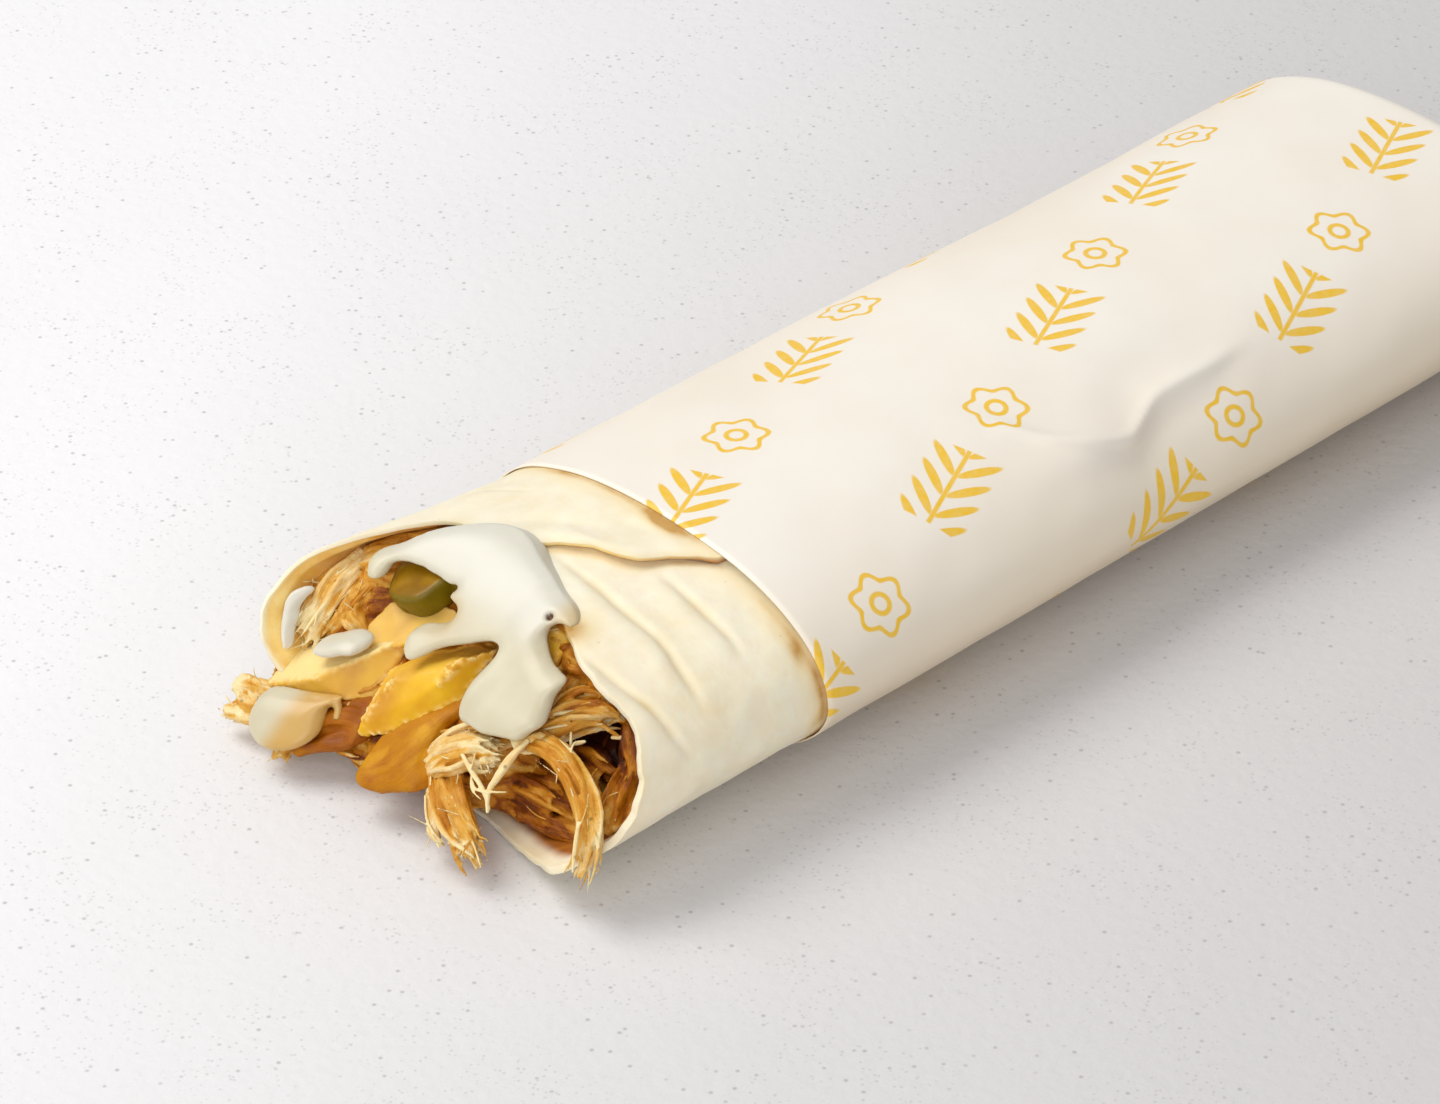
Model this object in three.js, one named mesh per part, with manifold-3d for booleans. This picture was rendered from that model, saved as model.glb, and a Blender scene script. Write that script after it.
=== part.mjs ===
// A chicken shawarma: shredded chicken, chips, pickle and garlic sauce rolled in a thin flatbread,
// with the roll pushed into a paper sleeve that is folded shut at its far end.
// Millimetres, +Z up. The roll lies along X on the flat of its sleeve, with its mouth towards -X.
import * as THREE from "three";
import { mergeVertices } from "three/addons/utils/BufferGeometryUtils.js";
import Module from "manifold-3d";

const wasm = await Module();
wasm.setup();

// Driving dimensions. Until the whole is centred at the end, X is counted from the sleeve's open edge
// and Y from the middle of the sleeve.
const SLEEVE_LENGTH = 172;
const SLEEVE_WIDTH = 72;
const SLEEVE_HEIGHT = 34;
const TOP_POWER = 2.2; // shape of the section's top half: 2 is an ellipse, and more is squarer
const LOW_POWER = 1.85; // shape of its lower half
const FLATTENED = 0.8; // how much the roll's weight has pressed off its underside
const PAPER = 0.5; // two plies and the air between them
const BREAD = 1.7;
const OVERLAP_STEP = 1.6; // the outer turn of bread ends on the turn below it
const GAP = 0.35; // between pieces that touch
const END_ROUND = 4; // radius round the sleeve's folded end
const FOLD_STEP = 0.7; // the folded end's top flap lies over its bottom flap
const SLACK = 2.4; // air between the paper and the bread, deep in the sleeve
const BREAD_END = SLEEVE_LENGTH - 9;
const MOUTH_FOOT = -52.3; // X where the leaning plane of the mouth meets the floor
const MOUTH_LEAN = 1.1; // how far that plane comes back for each millimetre up
const CHIP_SIDE = 8.4;
const MOUTH_DEPTH = 36; // how far out of the sleeve the roll is fully open
const FLARE = 5.2; // how far it opens sideways on its +Y side
const FLARE_TURN = 30; // the turn in degrees at which it opens most
const FLARE_SPREAD = 34; // and how far round that reaches
const NARROWING = 0.02; // its -Y side draws in by this share
const SINK = 0.6; // how far the open end sinks to the floor
const HOLLOW = 8; // depth of the hollow in the filling on the -Y side
const SLEEVE_POINTS = 38; // round the sleeve
const BREAD_POINTS = 48; // round the bread

const DEGREE = Math.PI / 180;
const HALF_WIDTH = SLEEVE_WIDTH / 2;
const HALF_HEIGHT = (SLEEVE_HEIGHT + FLATTENED) / 2;
const MID_Z = HALF_HEIGHT - FLATTENED;
const BREAD_INSET = PAPER + GAP;

const PAPER_WHITE = { color: 0xf4efe2, roughness: 0.7 };
const BREAD_CREAM = { color: 0xefe5cb, roughness: 0.8 };
const CHICKEN_BROWN = { color: 0xc08a40, roughness: 0.5 };
const CHIP_GOLD = { color: 0xf0bc36, roughness: 0.45 };
const PICKLE_GREEN = { color: 0x8f8420, roughness: 0.25 };
const SAUCE_WHITE = { color: 0xf3f1e4, roughness: 0.2 };

const mix = (a, b, t) => a + (b - a) * t;
const bell = (x) => Math.exp(-x * x);

function smooth(low, high, x) {
  const t = Math.min(1, Math.max(0, (x - low) / (high - low)));
  return t * t * (3 - 2 * t);
}

// A smooth curve through [place, value] pairs.
function through(pairs) {
  const last = pairs.length - 1;
  const at = (i) => pairs[Math.min(last, Math.max(0, i))];
  return (x) => {
    const i = Math.max(0, pairs.findLastIndex(([place], n) => place <= x && n < last));
    const [start, end] = [at(i), at(i + 1)];
    const t = Math.min(1, Math.max(0, (x - start[0]) / (end[0] - start[0])));
    const rise = (end[1] - at(i - 1)[1]) / 2;
    const fall = (at(i + 2)[1] - start[1]) / 2;
    const a = 2 * start[1] - 2 * end[1] + rise + fall;
    const b = 3 * end[1] - 3 * start[1] - 2 * rise - fall;
    return ((a * t + b) * t + rise) * t + start[1];
  };
}

// Small uneven bumps, the same on every run.
function lumps(x, y, z, size) {
  const [a, b, c] = [x / size, y / size, z / size];
  const first = Math.sin(2.1 * a + 1.3 * b);
  const second = Math.sin(1.7 * b - 2.3 * c + 1);
  const third = Math.sin(2.6 * c + 0.9 * a + 2);
  return (first + second + third) / 3;
}

// A closed solid, turned right side out.
function solidOf(points, triangles) {
  let volume = 0;
  for (const [a, b, c] of triangles) {
    const [p, q, r] = [points[a], points[b], points[c]].map((point) => new THREE.Vector3(...point));
    volume += p.dot(q.cross(r));
  }
  const faces = volume > 0 ? triangles : triangles.map(([a, b, c]) => [a, c, b]);
  const vertProperties = new Float32Array(points.flat());
  const triVerts = new Uint32Array(faces.flat());
  return new wasm.Manifold(new wasm.Mesh({ numProp: 3, vertProperties, triVerts }));
}

// Skins rings of equal count. The two ends close on a middle point, or the last ring joins the first.
function skin(rings, looped = false) {
  const count = rings[0].length;
  const points = rings.flat();
  const triangles = [];
  const bands = looped ? rings.length : rings.length - 1;
  for (let i = 0; i < bands; i++) {
    const here = i * count;
    const next = ((i + 1) % rings.length) * count;
    for (let j = 0; j < count; j++) {
      const k = (j + 1) % count;
      triangles.push([here + j, here + k, next + k], [here + j, next + k, next + j]);
    }
  }
  if (looped) return solidOf(points, triangles);
  const first = points.length;
  const lastRing = (rings.length - 1) * count;
  for (const ring of [rings[0], rings.at(-1)]) {
    points.push([0, 1, 2].map((axis) => ring.reduce((sum, p) => sum + p[axis], 0) / count));
  }
  for (let j = 0; j < count; j++) {
    const k = (j + 1) % count;
    triangles.push([k, j, first], [lastRing + j, lastRing + k, first + 1]);
  }
  return solidOf(points, triangles);
}

// A point of the flattened oval section, so far inside the sleeve's outer face.
function oval(x, turn, inset) {
  const c = Math.cos(turn);
  const s = Math.sin(turn);
  const power = s < 0 ? LOW_POWER : TOP_POWER;
  const y = (HALF_WIDTH - inset) * Math.sign(c) * Math.abs(c) ** (2 / power);
  const z = MID_Z + (HALF_HEIGHT - inset) * Math.sign(s) * Math.abs(s) ** (2 / power);
  return [x, y, z];
}

// Dents in the paper: [X, turn in degrees, length, width in degrees, depth]. A ridge has a negative depth.
const DENTS = [
  [77, 158, 14, 18, 2.0],
  [64, 138, 9, 9, -0.8],
  [87, 132, 9, 8, -0.7],
  [112, 150, 16, 18, 0.8],
  [40, 150, 16, 14, 0.6],
  [52, 60, 20, 20, 0.6],
  [120, 40, 24, 20, 0.8],
  [95, 8, 18, 16, 1.2],
];

function paperDent(x, turn) {
  return DENTS.reduce((sum, [along, degrees, length, width, depth]) => {
    const away = ((turn / DEGREE - degrees + 540) % 360) - 180;
    return sum + depth * bell((x - along) / length) * bell(away / width);
  }, 0);
}

function sleeveRing(x, inset, set = 0) {
  return Array.from({ length: SLEEVE_POINTS }, (_, j) => {
    const turn = (j / SLEEVE_POINTS) * 2 * Math.PI;
    const point = oval(x, turn, inset + set + paperDent(x, turn));
    return [x, point[1], Math.max(point[2], inset + set)];
  });
}

// One face of the sleeve, from its open edge round the corner to the middle of the folded end.
const SLEEVE_STATIONS = [0, 14, 28, 42, 56, 66, 74, 82, 92, 106, 130];
const CORNER_TURNS = [0, 35, 65, 90];
const END_SHARES = [0.8, 0.45];

function sleeveFace(inset) {
  const end = SLEEVE_LENGTH - inset;
  const rings = SLEEVE_STATIONS.map((x) => sleeveRing(x, inset));
  for (const degrees of CORNER_TURNS) {
    const x = end - END_ROUND * (1 - Math.sin(degrees * DEGREE));
    rings.push(sleeveRing(x, inset, END_ROUND * (1 - Math.cos(degrees * DEGREE))));
  }
  const corner = rings.at(-1);
  for (const share of END_SHARES) {
    const ring = corner.map(([, y, z]) => {
      const flap = smooth(MID_Z - 4, MID_Z + 2, z) * FOLD_STEP;
      return [end - FOLD_STEP + flap, y * share, mix(MID_Z, z, share)];
    });
    rings.push(ring);
  }
  return rings;
}

const paperSleeve = () => skin([...sleeveFace(PAPER).reverse(), ...sleeveFace(0)]);

// The bread's rim: X at each turn of the section in degrees, from the +Y side over the top. Its lower
// half is the scoop's lip, and its top is cut back.
const RIM = through([
  [-180, -37.5],
  [-162, -40.5],
  [-146, -45],
  [-128, -43],
  [-108, -39.5],
  [-90, -38.5],
  [-50, -42],
  [-15, -45.5],
  [3, -44],
  [17, -39.5],
  [29, -32.5],
  [40, -23],
  [54, -16],
  [76, -16.2],
  [92, -21],
  [106, -27],
  [124, -31],
  [145, -32],
  [165, -35],
  [180, -37.5],
]);

// The free edge of the outer turn of bread: its turn in degrees, from the sleeve at 0 to the rim at 1.
const SEAM = through([
  [0, 113],
  [0.4, 103],
  [0.68, 92],
  [1, 77],
]);

// Folds where the bread bends round its filling: [first turn, last turn, X at each of them, depth].
const BREAD_FOLDS = [
  [84, 150, -16, -20, 1.3],
  [104, 142, -8.3, -9, 0.9],
  [114, 168, -29.5, -25.5, 1.1],
];
const FOLD_WIDTH = 2.4;

function breadFold(x, degrees) {
  return BREAD_FOLDS.reduce((sum, [first, last, startX, endX, depth]) => {
    const t = (degrees - first) / (last - first);
    const along = smooth(-0.1, 0.25, t) * smooth(1.1, 0.75, t);
    return sum + depth * along * bell((x - mix(startX, endX, t)) / FOLD_WIDTH);
  }, 0);
}

// A point of the roll. Out of the sleeve it flares on its +Y side, sinks to the floor and has its folds.
// Deep in the sleeve it is slacker.
function rollPoint(x, degrees, inset) {
  const out = smooth(0, -MOUTH_DEPTH, x);
  const slack = SLACK * smooth(4, 45, x);
  const fold = smooth(0, -5, x) * breadFold(x, ((degrees % 360) + 360) % 360);
  const [, y, z] = oval(x, degrees * DEGREE, inset + slack + fold);
  const opened = Math.min(1, Math.max(0, -x / MOUTH_DEPTH));
  const flare = FLARE * opened * bell((level(degrees) - FLARE_TURN) / FLARE_SPREAD);
  const narrower = y > 0 ? 1 : 1 - NARROWING * out;
  const floor = inset + slack - SINK * out;
  return [x, y * narrower + flare, Math.max(z + 0.2 * flare - SINK * out, floor)];
}

// A turn brought to between -180 and 180 degrees.
const level = (degrees) => ((((degrees + 180) % 360) + 360) % 360) - 180;

const rimAt = (degrees) => RIM(level(degrees));

// How far round the bread a place is, from 0 at the seam to 1 back at it.
function roundAt(x, degrees) {
  const share = Math.min(1, Math.max(0, x / rimAt(degrees)));
  return ((((degrees - SEAM(share)) / 360) % 1) + 1) % 1;
}

// The wall is one turn of bread thick, and two where it overlaps towards the seam.
const outerInset = (round) => BREAD_INSET + OVERLAP_STEP * smooth(0.3, 0, round);

function innerInset(round) {
  const overlap = Math.max(smooth(0.35, 0, round), smooth(0.7, 0.95, round));
  return BREAD_INSET + BREAD + OVERLAP_STEP * overlap;
}

const MOUTH_SHARES = [0, 0.1, 0.2, 0.3, 0.4, 0.5, 0.6, 0.7, 0.8, 0.9, 1];
const HIDDEN_STATIONS = [16, 34, BREAD_END];

// Rings of the bread's outer or inner face, from deep in the sleeve to the rim. They start at the seam,
// where the outer face steps down by one turn of bread.
function breadFace(outer, grow) {
  const ring = (share, hiddenX) =>
    Array.from({ length: BREAD_POINTS }, (_, j) => {
      const round = j / (BREAD_POINTS - 0.5);
      const degrees = SEAM(share) + 360 * round;
      const x = hiddenX ?? mix(0, rimAt(degrees) - grow, share);
      const inset = outer ? outerInset(round) - grow : innerInset(round) + grow;
      return rollPoint(x, degrees, inset);
    });
  const shares = MOUTH_SHARES.filter((_, i) => outer || i % 2 === 0);
  return [...HIDDEN_STATIONS.toReversed().map((x) => ring(0, x)), ...shares.map((share) => ring(share))];
}

const flatbread = (grow = 0) => skin([...breadFace(false, grow), ...breadFace(true, grow).reverse()], true);

// A place in the mouth: so far out of its leaning plane, and so far in where out is negative.
const mouth = (y, z, out) => [MOUTH_FOOT + MOUTH_LEAN * z - Math.hypot(1, MOUTH_LEAN) * out, y, z];

// The packed filling behind the pieces that show. Its face is uneven, and sunk towards the -Y side.
const CORE_POINTS = 30;
const CORE_INSET = 2 * GAP; // inside the bread
const FACE_SHARES = [0.8, 0.58, 0.36, 0.15];

function fillingFace(y, z) {
  const hollow = smooth(-4, -15, y) * smooth(26, 19, z) * smooth(1, 7, z);
  const shelf = -1.5 * smooth(12, 5, z);
  return mouth(y, z, 0.4 - HOLLOW * hollow + shelf + 0.9 * lumps(0, y, z, 3.4))[0];
}

function packedFilling() {
  const ring = (place) => Array.from({ length: CORE_POINTS }, (_, j) => place((j / CORE_POINTS) * 360));
  const inside = (x, degrees) => rollPoint(x, degrees, innerInset(roundAt(x, degrees)) + CORE_INSET);
  const faceX = (degrees) => {
    const [, y, z] = inside(0.8 * rimAt(degrees), degrees);
    return Math.min(-5, Math.max(fillingFace(y, z), 0.94 * rimAt(degrees)));
  };
  const deep = [BREAD_END - 1, 34, 16, 0].map((x) => ring((degrees) => inside(x, degrees)));
  const near = [0.35, 0.7, 1].map((share) => ring((degrees) => inside(share * faceX(degrees), degrees)));
  const face = FACE_SHARES.map((share) =>
    near[2].map(([x, y, z]) => {
      const inY = y * share;
      const inZ = mix(MID_Z, z, share);
      return [mix(fillingFace(inY, inZ), x, smooth(0.7, 1, share)), inY, inZ];
    }),
  );
  return skin([...deep, ...near, ...face]);
}

// A solid swept along a route of [x, y, z, size]. Its section is wide across the route and thin along
// face, rounder at a power of 2 and squarer above it. Rough is how uneven its skin is.
const SWEPT = { face: [-0.67, 0, 0.74], sides: 8, steps: 8, power: 2, blunt: 0.5, rough: 0 };

function sweep(route, shape) {
  const { width, thick, face, sides, steps, power, blunt, rough } = { ...SWEPT, ...shape };
  const curve = new THREE.CatmullRomCurve3(route.map(([x, y, z]) => new THREE.Vector3(x, y, z)));
  const size = through(route.map(([, , , scale], i) => [i / (route.length - 1), scale]));
  return (grow = 0) => {
    const ring = (i) => {
      const t = i / steps;
      const along = curve.getTangent(t);
      const across = new THREE.Vector3().crossVectors(new THREE.Vector3(...face), along).normalize();
      const up = new THREE.Vector3().crossVectors(along, across);
      const end = (i === steps) - (i === 0);
      const middle = curve.getPoint(t).addScaledVector(along, end * grow);
      const scale = size(t) * (end ? blunt : 1);
      return Array.from({ length: sides }, (_, j) => {
        const turn = ((j + 0.5) / sides) * 2 * Math.PI;
        const [c, s] = [Math.cos(turn), Math.sin(turn)];
        const uneven = scale * (1 + rough * lumps(3 * j, 5 * i, middle.y, 2));
        const wide = Math.sign(c) * Math.abs(c) ** (2 / power) * ((width / 2) * uneven + grow);
        const high = Math.sign(s) * Math.abs(s) ** (2 / power) * ((thick / 2) * uneven + grow);
        return middle.clone().addScaledVector(across, wide).addScaledVector(up, high).toArray();
      });
    };
    return skin(Array.from({ length: steps + 1 }, (_, i) => ring(i)));
  };
}

// A sphere stretched to its radii.
function blob(centre, radii, segments = 10, rows = 6) {
  return (grow = 0) => {
    const ball = new THREE.SphereGeometry(1, segments, rows);
    ball.deleteAttribute("normal");
    ball.deleteAttribute("uv");
    ball.scale(...radii.map((radius) => radius + grow)).translate(...centre);
    const merged = mergeVertices(ball, 1e-3);
    const { array } = merged.attributes.position;
    const points = Array.from({ length: array.length / 3 }, (_, i) => [...array.slice(3 * i, 3 * i + 3)]);
    const { array: index } = merged.index;
    const faces = Array.from({ length: index.length / 3 }, (_, i) => [...index.slice(3 * i, 3 * i + 3)]);
    return solidOf(points, faces);
  };
}

const joined = (parts) => (grow = 0) => parts.map((part) => part(grow)).reduce((a, b) => a.add(b));

// Chips are squared sticks. Each has a cut tip that shows and a root in the filling.
const CHIPS = [
  { tip: mouth(32.4, 9.4, 4), root: mouth(12, 17.5, -8), width: 10.5, tipSize: 0.5 },
  { tip: mouth(27, 15.4, 1.6), root: mouth(13, 21, -9), width: 8.5, tipSize: 0.8 },
  { tip: mouth(13.9, 10.6, 3.6), root: mouth(2, 20.5, -6.5), width: 8.4, tipSize: 0.75 },
  { tip: mouth(-7.5, 25.2, 0.2), root: mouth(-3.5, 23.5, -11), width: 7.6, tipSize: 0.7 },
  { tip: mouth(24, 6.6, -2.5), root: mouth(10, 11, -12), width: 8, tipSize: 0.85 },
];
const CHIP_CUT = { thick: CHIP_SIDE, power: 3.6, steps: 5, blunt: 0.8, rough: 0.05 };

function chip({ tip, root, width, tipSize }) {
  const middle = tip.map((value, axis) => mix(value, root[axis], 0.35));
  return sweep([[...tip, tipSize], [...middle, 1], [...root, 0.95]], { ...CHIP_CUT, width });
}

// A pickle slice is a thick disc, cut across a small cucumber and lying tilted in the mouth.
function pickle(centre, radius, thick, tilt) {
  const axis = new THREE.Vector3(-Math.sin(tilt), 0.25, Math.cos(tilt)).normalize();
  const ends = [-thick / 2, thick / 2].map((side) => axis.clone().multiplyScalar(side));
  const route = ends.map((end) => [...end.add(new THREE.Vector3(...centre)).toArray(), 1]);
  const oval = { width: 2 * radius, thick: 1.7 * radius, face: [0, 1, 0] };
  return sweep(route, { ...oval, sides: 14, steps: 3, blunt: 0.88 });
}

// The larger pieces of chicken that can be told apart, each as a route of places in the mouth.
const CHICKEN = {
  chicken_piece_1: {
    route: [[16, 10, -7, 0.9], [10.5, 9, -1.5, 1.1], [6.5, 8, 1.2, 1.1], [4.5, 6.6, 2.2, 0.7]],
    width: 9.6,
    thick: 7,
  },
  chicken_piece_2: {
    route: [[16, 7.5, -7, 0.8], [20, 7.6, -1, 1], [21, 6, 1.2, 1], [22.5, 4.4, 2.6, 0.6]],
    width: 9,
    thick: 4.6,
  },
  chicken_strip_1: {
    route: [[30, 25, -4, 0.7], [32.2, 22, -0.2, 1], [33.2, 18, 0.8, 1.1], [32.6, 12, 1.6, 0.8]],
    width: 5.6,
    thick: 3.6,
  },
  chicken_strip_2: {
    route: [[24, 23, -6, 0.8], [27.6, 19.8, -0.6, 1], [29, 17.6, 0, 1], [29.6, 15.6, -0.6, 0.8]],
    width: 5,
    thick: 3.4,
  },
  chicken_strip_3: {
    route: [[-8, 15, -6, 0.8], [-17, 16, 0.6, 1], [-24, 16.6, 2.8, 1.1], [-29.4, 15.6, 3.2, 1], [-31, 11.6, 2.4, 0.8]],
    width: 5.4,
    thick: 3.6,
  },
  chicken_strip_4: {
    route: [[-11, 18, -6, 0.8], [-8.4, 15.4, 1, 1], [-4, 13.2, 2.2, 1.1], [-0.4, 10.4, 1.4, 0.8]],
    width: 7,
    thick: 4.4,
  },
  chicken_strip_5: {
    route: [[-2, 11, -5, 0.7], [-3.4, 8.8, 1.2, 1], [-8, 7.6, 2.4, 1], [-12.6, 6.2, 2.2, 0.9], [-15.4, 4.6, 1.2, 0.5]],
    width: 5.4,
    thick: 3.4,
  },
  chicken_strip_6: {
    route: [[-5, 22, -9, 0.8], [-12, 19.4, -3, 1], [-15.4, 18.2, -2.2, 1], [-22, 16.4, -4.6, 0.8]],
    width: 6.4,
    thick: 4.6,
  },
};

const chicken = ({ route, width, thick }) =>
  sweep(
    route.map(([y, z, out, size]) => [...mouth(y, z, out), size]),
    { width, thick, sides: 7, steps: 8, blunt: 0.45, power: 2.4, rough: 0.22 },
  );

// Loose shreds that are fused to the packed filling: [y, z, out] from end to end, and their thickness.
const SHREDS = [
  [[36, 8, -5], [38, 6.4, -1], [41.4, 5.2, 0], 3.0],
  [[31, 5, -5], [35.6, 3.8, -0.6], [39.6, 2.6, 0], 3.2],
  [[24, 4.6, -4], [26, 3.6, 0], [26.6, 2.2, 1], 3.0],
  [[-22, 12, -9], [-26, 13, -5], [-28.6, 9.6, -3], 4.2],
  [[-18, 7, -8], [-23, 8.2, -4], [-27, 9, -2.4], 3.6],
  [[-10, 7.2, -7], [-15.6, 7.6, -2.4], [-21, 6.4, -1.6], 3.6],
  [[2, 12, -5], [-3.6, 10.4, -0.4], [-9.4, 9.6, -1.6], 3.4],
  [[-1, 9, -5], [-4.6, 7, 1], [-9, 5, 0.6], 2.4],
  [[14, 16, -5], [9, 14.6, -1], [3, 13.6, -0.6], 3.4],
  [[26, 12, -7], [29.6, 8, -1.4], [31.6, 5.6, -1.4], 4.2],
  [[18, 24, -6], [23, 22.4, -1.6], [26, 20, -3], 3.2],
  [[-9, 24, -8], [-12.4, 22.4, -1.6], [-15.6, 22, -4], 3.4],
];
const SHRED_SHARE = [0.7, 1, 0.45]; // how thick a shred is at its root, its middle and its tip

function shred(route) {
  const thick = route.at(-1);
  const points = route.slice(0, -1).map(([y, z, out], i) => [...mouth(y, z, out), SHRED_SHARE[i]]);
  return sweep(points, { width: thick, thick: 0.7 * thick, sides: 5, steps: 5, rough: 0.2 });
}

// Garlic sauce, poured over the mouth from its top.
const SAUCE = { sides: 9, steps: 7, blunt: 0.55 };
const sauceRun = (width, thick, route) =>
  sweep(
    route.map(([y, z, out, size]) => [...mouth(y, z, out), size]),
    { ...SAUCE, width, thick },
  );

const garlicSauce = joined([
  sauceRun(10, 4.6, [[26, 28.6, 1.2, 0.7], [19, 29.8, 2.8, 1], [11, 31.8, 2.8, 1.1], [3, 33.6, 1, 0.9]]),
  sauceRun(13.5, 5.2, [[8, 33, 1, 1], [4, 30, 2.6, 1.1], [-1, 27, 3, 0.8], [-4.6, 24, 3.8, 0.75],
    [-7, 20.4, 4.6, 1], [-9, 16.4, 3.6, 0.7]]),
  sauceRun(7, 4, [[3.6, 27.6, 2.4, 1], [9, 24.8, 3.6, 1], [12.4, 21.2, 3.8, 0.7]]),
  sauceRun(6, 3.6, [[26, 29, 1, 0.8], [27.2, 27, 2.6, 1], [26.8, 24.6, 2.6, 0.7]]),
]);

const sauceDollop = joined([
  blob(mouth(22.6, 17.8, 5.6), [3.2, 3.2, 1.9]),
  blob(mouth(25.8, 16.4, 5), [2.4, 2.6, 1.5]),
]);

const sauceDrip = joined([
  blob(mouth(27, 7.4, 4.2), [3, 4.6, 4.6]),
  sauceRun(4.4, 3, [[28, 9.4, 3, 1], [23, 10, 3.4, 0.8], [18.8, 10.6, 3, 0.6]]),
]);

const sauceSmear = joined([
  blob(mouth(37.2, 16.4, 0.4), [2.6, 1.6, 3.4]),
  blob(mouth(36.4, 13, 0.4), [2, 1.5, 2.6]),
]);

// Cuts a piece back from all that it touches, and keeps its largest part.
function fitted(piece, neighbours) {
  const cut = neighbours.reduce((solid, neighbour) => solid.subtract(neighbour), piece);
  return cut.decompose().reduce((largest, part) => (part.volume() > largest.volume() ? part : largest));
}

function meshOf(name, solid, look) {
  const { vertProperties, triVerts } = solid.getMesh();
  const geometry = new THREE.BufferGeometry();
  geometry.setAttribute("position", new THREE.BufferAttribute(vertProperties, 3));
  geometry.setIndex(new THREE.BufferAttribute(triVerts, 1));
  geometry.computeVertexNormals();
  const mesh = new THREE.Mesh(geometry, new THREE.MeshStandardMaterial({ metalness: 0, ...look }));
  mesh.name = name;
  return mesh;
}

// What lies in the mouth, from what keeps its whole shape to what gives way to all the rest.
const filling = [
  ...CHIPS.map((stick, i) => [`chip_${i + 1}`, chip(stick), CHIP_GOLD]),
  ["pickle_1", pickle(mouth(20.4, 24.6, 1.2), 6.4, 4.6, 0.5), PICKLE_GREEN],
  ["pickle_2", pickle(mouth(15, 27.2, -0.6), 5.6, 4.2, 0.2), PICKLE_GREEN],
  ...Object.entries(CHICKEN).map(([name, piece]) => [name, chicken(piece), CHICKEN_BROWN]),
  ["garlic_sauce", garlicSauce, SAUCE_WHITE],
  ["sauce_dollop", sauceDollop, SAUCE_WHITE],
  ["sauce_drip", sauceDrip, SAUCE_WHITE],
  ["sauce_smear", sauceSmear, SAUCE_WHITE],
  ["chicken_shreds", joined([packedFilling, ...SHREDS.map(shred)]), CHICKEN_BROWN],
];

const shawarma = new THREE.Group();
shawarma.add(meshOf("paper_sleeve", paperSleeve(), PAPER_WHITE));
shawarma.add(meshOf("flatbread", flatbread(), BREAD_CREAM));
const neighbours = [flatbread(GAP)];
for (const [name, piece, look] of filling) {
  shawarma.add(meshOf(name, fitted(piece(), neighbours), look));
  neighbours.push(piece(GAP));
}

// The origin is at the middle of the whole, on the floor.
const box = new THREE.Box3().setFromObject(shawarma);
const centre = box.getCenter(new THREE.Vector3());
shawarma.position.set(-centre.x, -centre.y, -box.min.z);

export default shawarma;
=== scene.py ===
# %% [markdown]
# A chicken shawarma in Blender: shredded chicken, chips, pickle and garlic sauce rolled in flatbread,
# with the roll pushed into a printed paper sleeve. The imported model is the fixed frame. It says where
# each piece is, and how large. Everything below makes the surfaces that the eye sees, around that frame.

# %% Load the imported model
import math

import bmesh
import bpy
import numpy as np
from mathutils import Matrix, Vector, kdtree


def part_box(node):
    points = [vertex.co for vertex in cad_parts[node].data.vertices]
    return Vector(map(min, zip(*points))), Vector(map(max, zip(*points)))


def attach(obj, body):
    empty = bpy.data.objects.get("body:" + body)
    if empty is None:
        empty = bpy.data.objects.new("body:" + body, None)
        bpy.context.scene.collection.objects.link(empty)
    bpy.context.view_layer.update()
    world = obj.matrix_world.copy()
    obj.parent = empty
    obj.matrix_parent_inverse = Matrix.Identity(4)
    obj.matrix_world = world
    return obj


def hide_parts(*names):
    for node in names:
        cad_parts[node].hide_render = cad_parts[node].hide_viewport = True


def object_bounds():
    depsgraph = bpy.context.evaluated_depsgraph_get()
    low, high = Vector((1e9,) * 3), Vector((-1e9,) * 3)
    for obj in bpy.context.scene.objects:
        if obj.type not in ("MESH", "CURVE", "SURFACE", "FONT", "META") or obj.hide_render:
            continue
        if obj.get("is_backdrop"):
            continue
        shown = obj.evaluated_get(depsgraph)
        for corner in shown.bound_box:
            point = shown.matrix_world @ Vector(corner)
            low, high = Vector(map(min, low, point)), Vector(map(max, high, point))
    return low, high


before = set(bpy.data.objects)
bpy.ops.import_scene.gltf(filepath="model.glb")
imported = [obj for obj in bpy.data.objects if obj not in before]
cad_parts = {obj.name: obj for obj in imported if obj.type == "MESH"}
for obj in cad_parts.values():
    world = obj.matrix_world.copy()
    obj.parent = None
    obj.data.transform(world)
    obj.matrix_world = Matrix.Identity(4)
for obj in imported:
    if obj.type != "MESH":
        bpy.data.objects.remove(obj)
cad_low, cad_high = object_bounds()
sleeve_low, sleeve_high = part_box("paper_sleeve")
EDGE_X = sleeve_low.x  # the sleeve's open edge
MIDDLE_Y = (sleeve_low.y + sleeve_high.y) / 2
MM = 0.001
print("CAD box in mm:", [round((b - a) / MM, 1) for a, b in zip(cad_low, cad_high)])

# %% [markdown]
# The roll is made from a few formulas: an oval section, a flare at the open end and a rim that runs
# round it. They are written with numpy, so that one call places every vertex of a mesh at once. Places
# are in millimetres, counted along X from the sleeve's open edge, across Y from its middle and up from
# the floor. A turn is in degrees, from the +Y side over the top.

# %% Curves and small shaping functions
def smooth(low, high, x):
    """Rises from 0 at low to 1 at high, with no corner at either end."""
    t = np.clip((np.asarray(x, float) - low) / (high - low), 0, 1)
    return t * t * (3 - 2 * t)


def bell(x):
    return np.exp(-np.square(x))


def mix(a, b, t):
    return a + (b - a) * t


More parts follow.
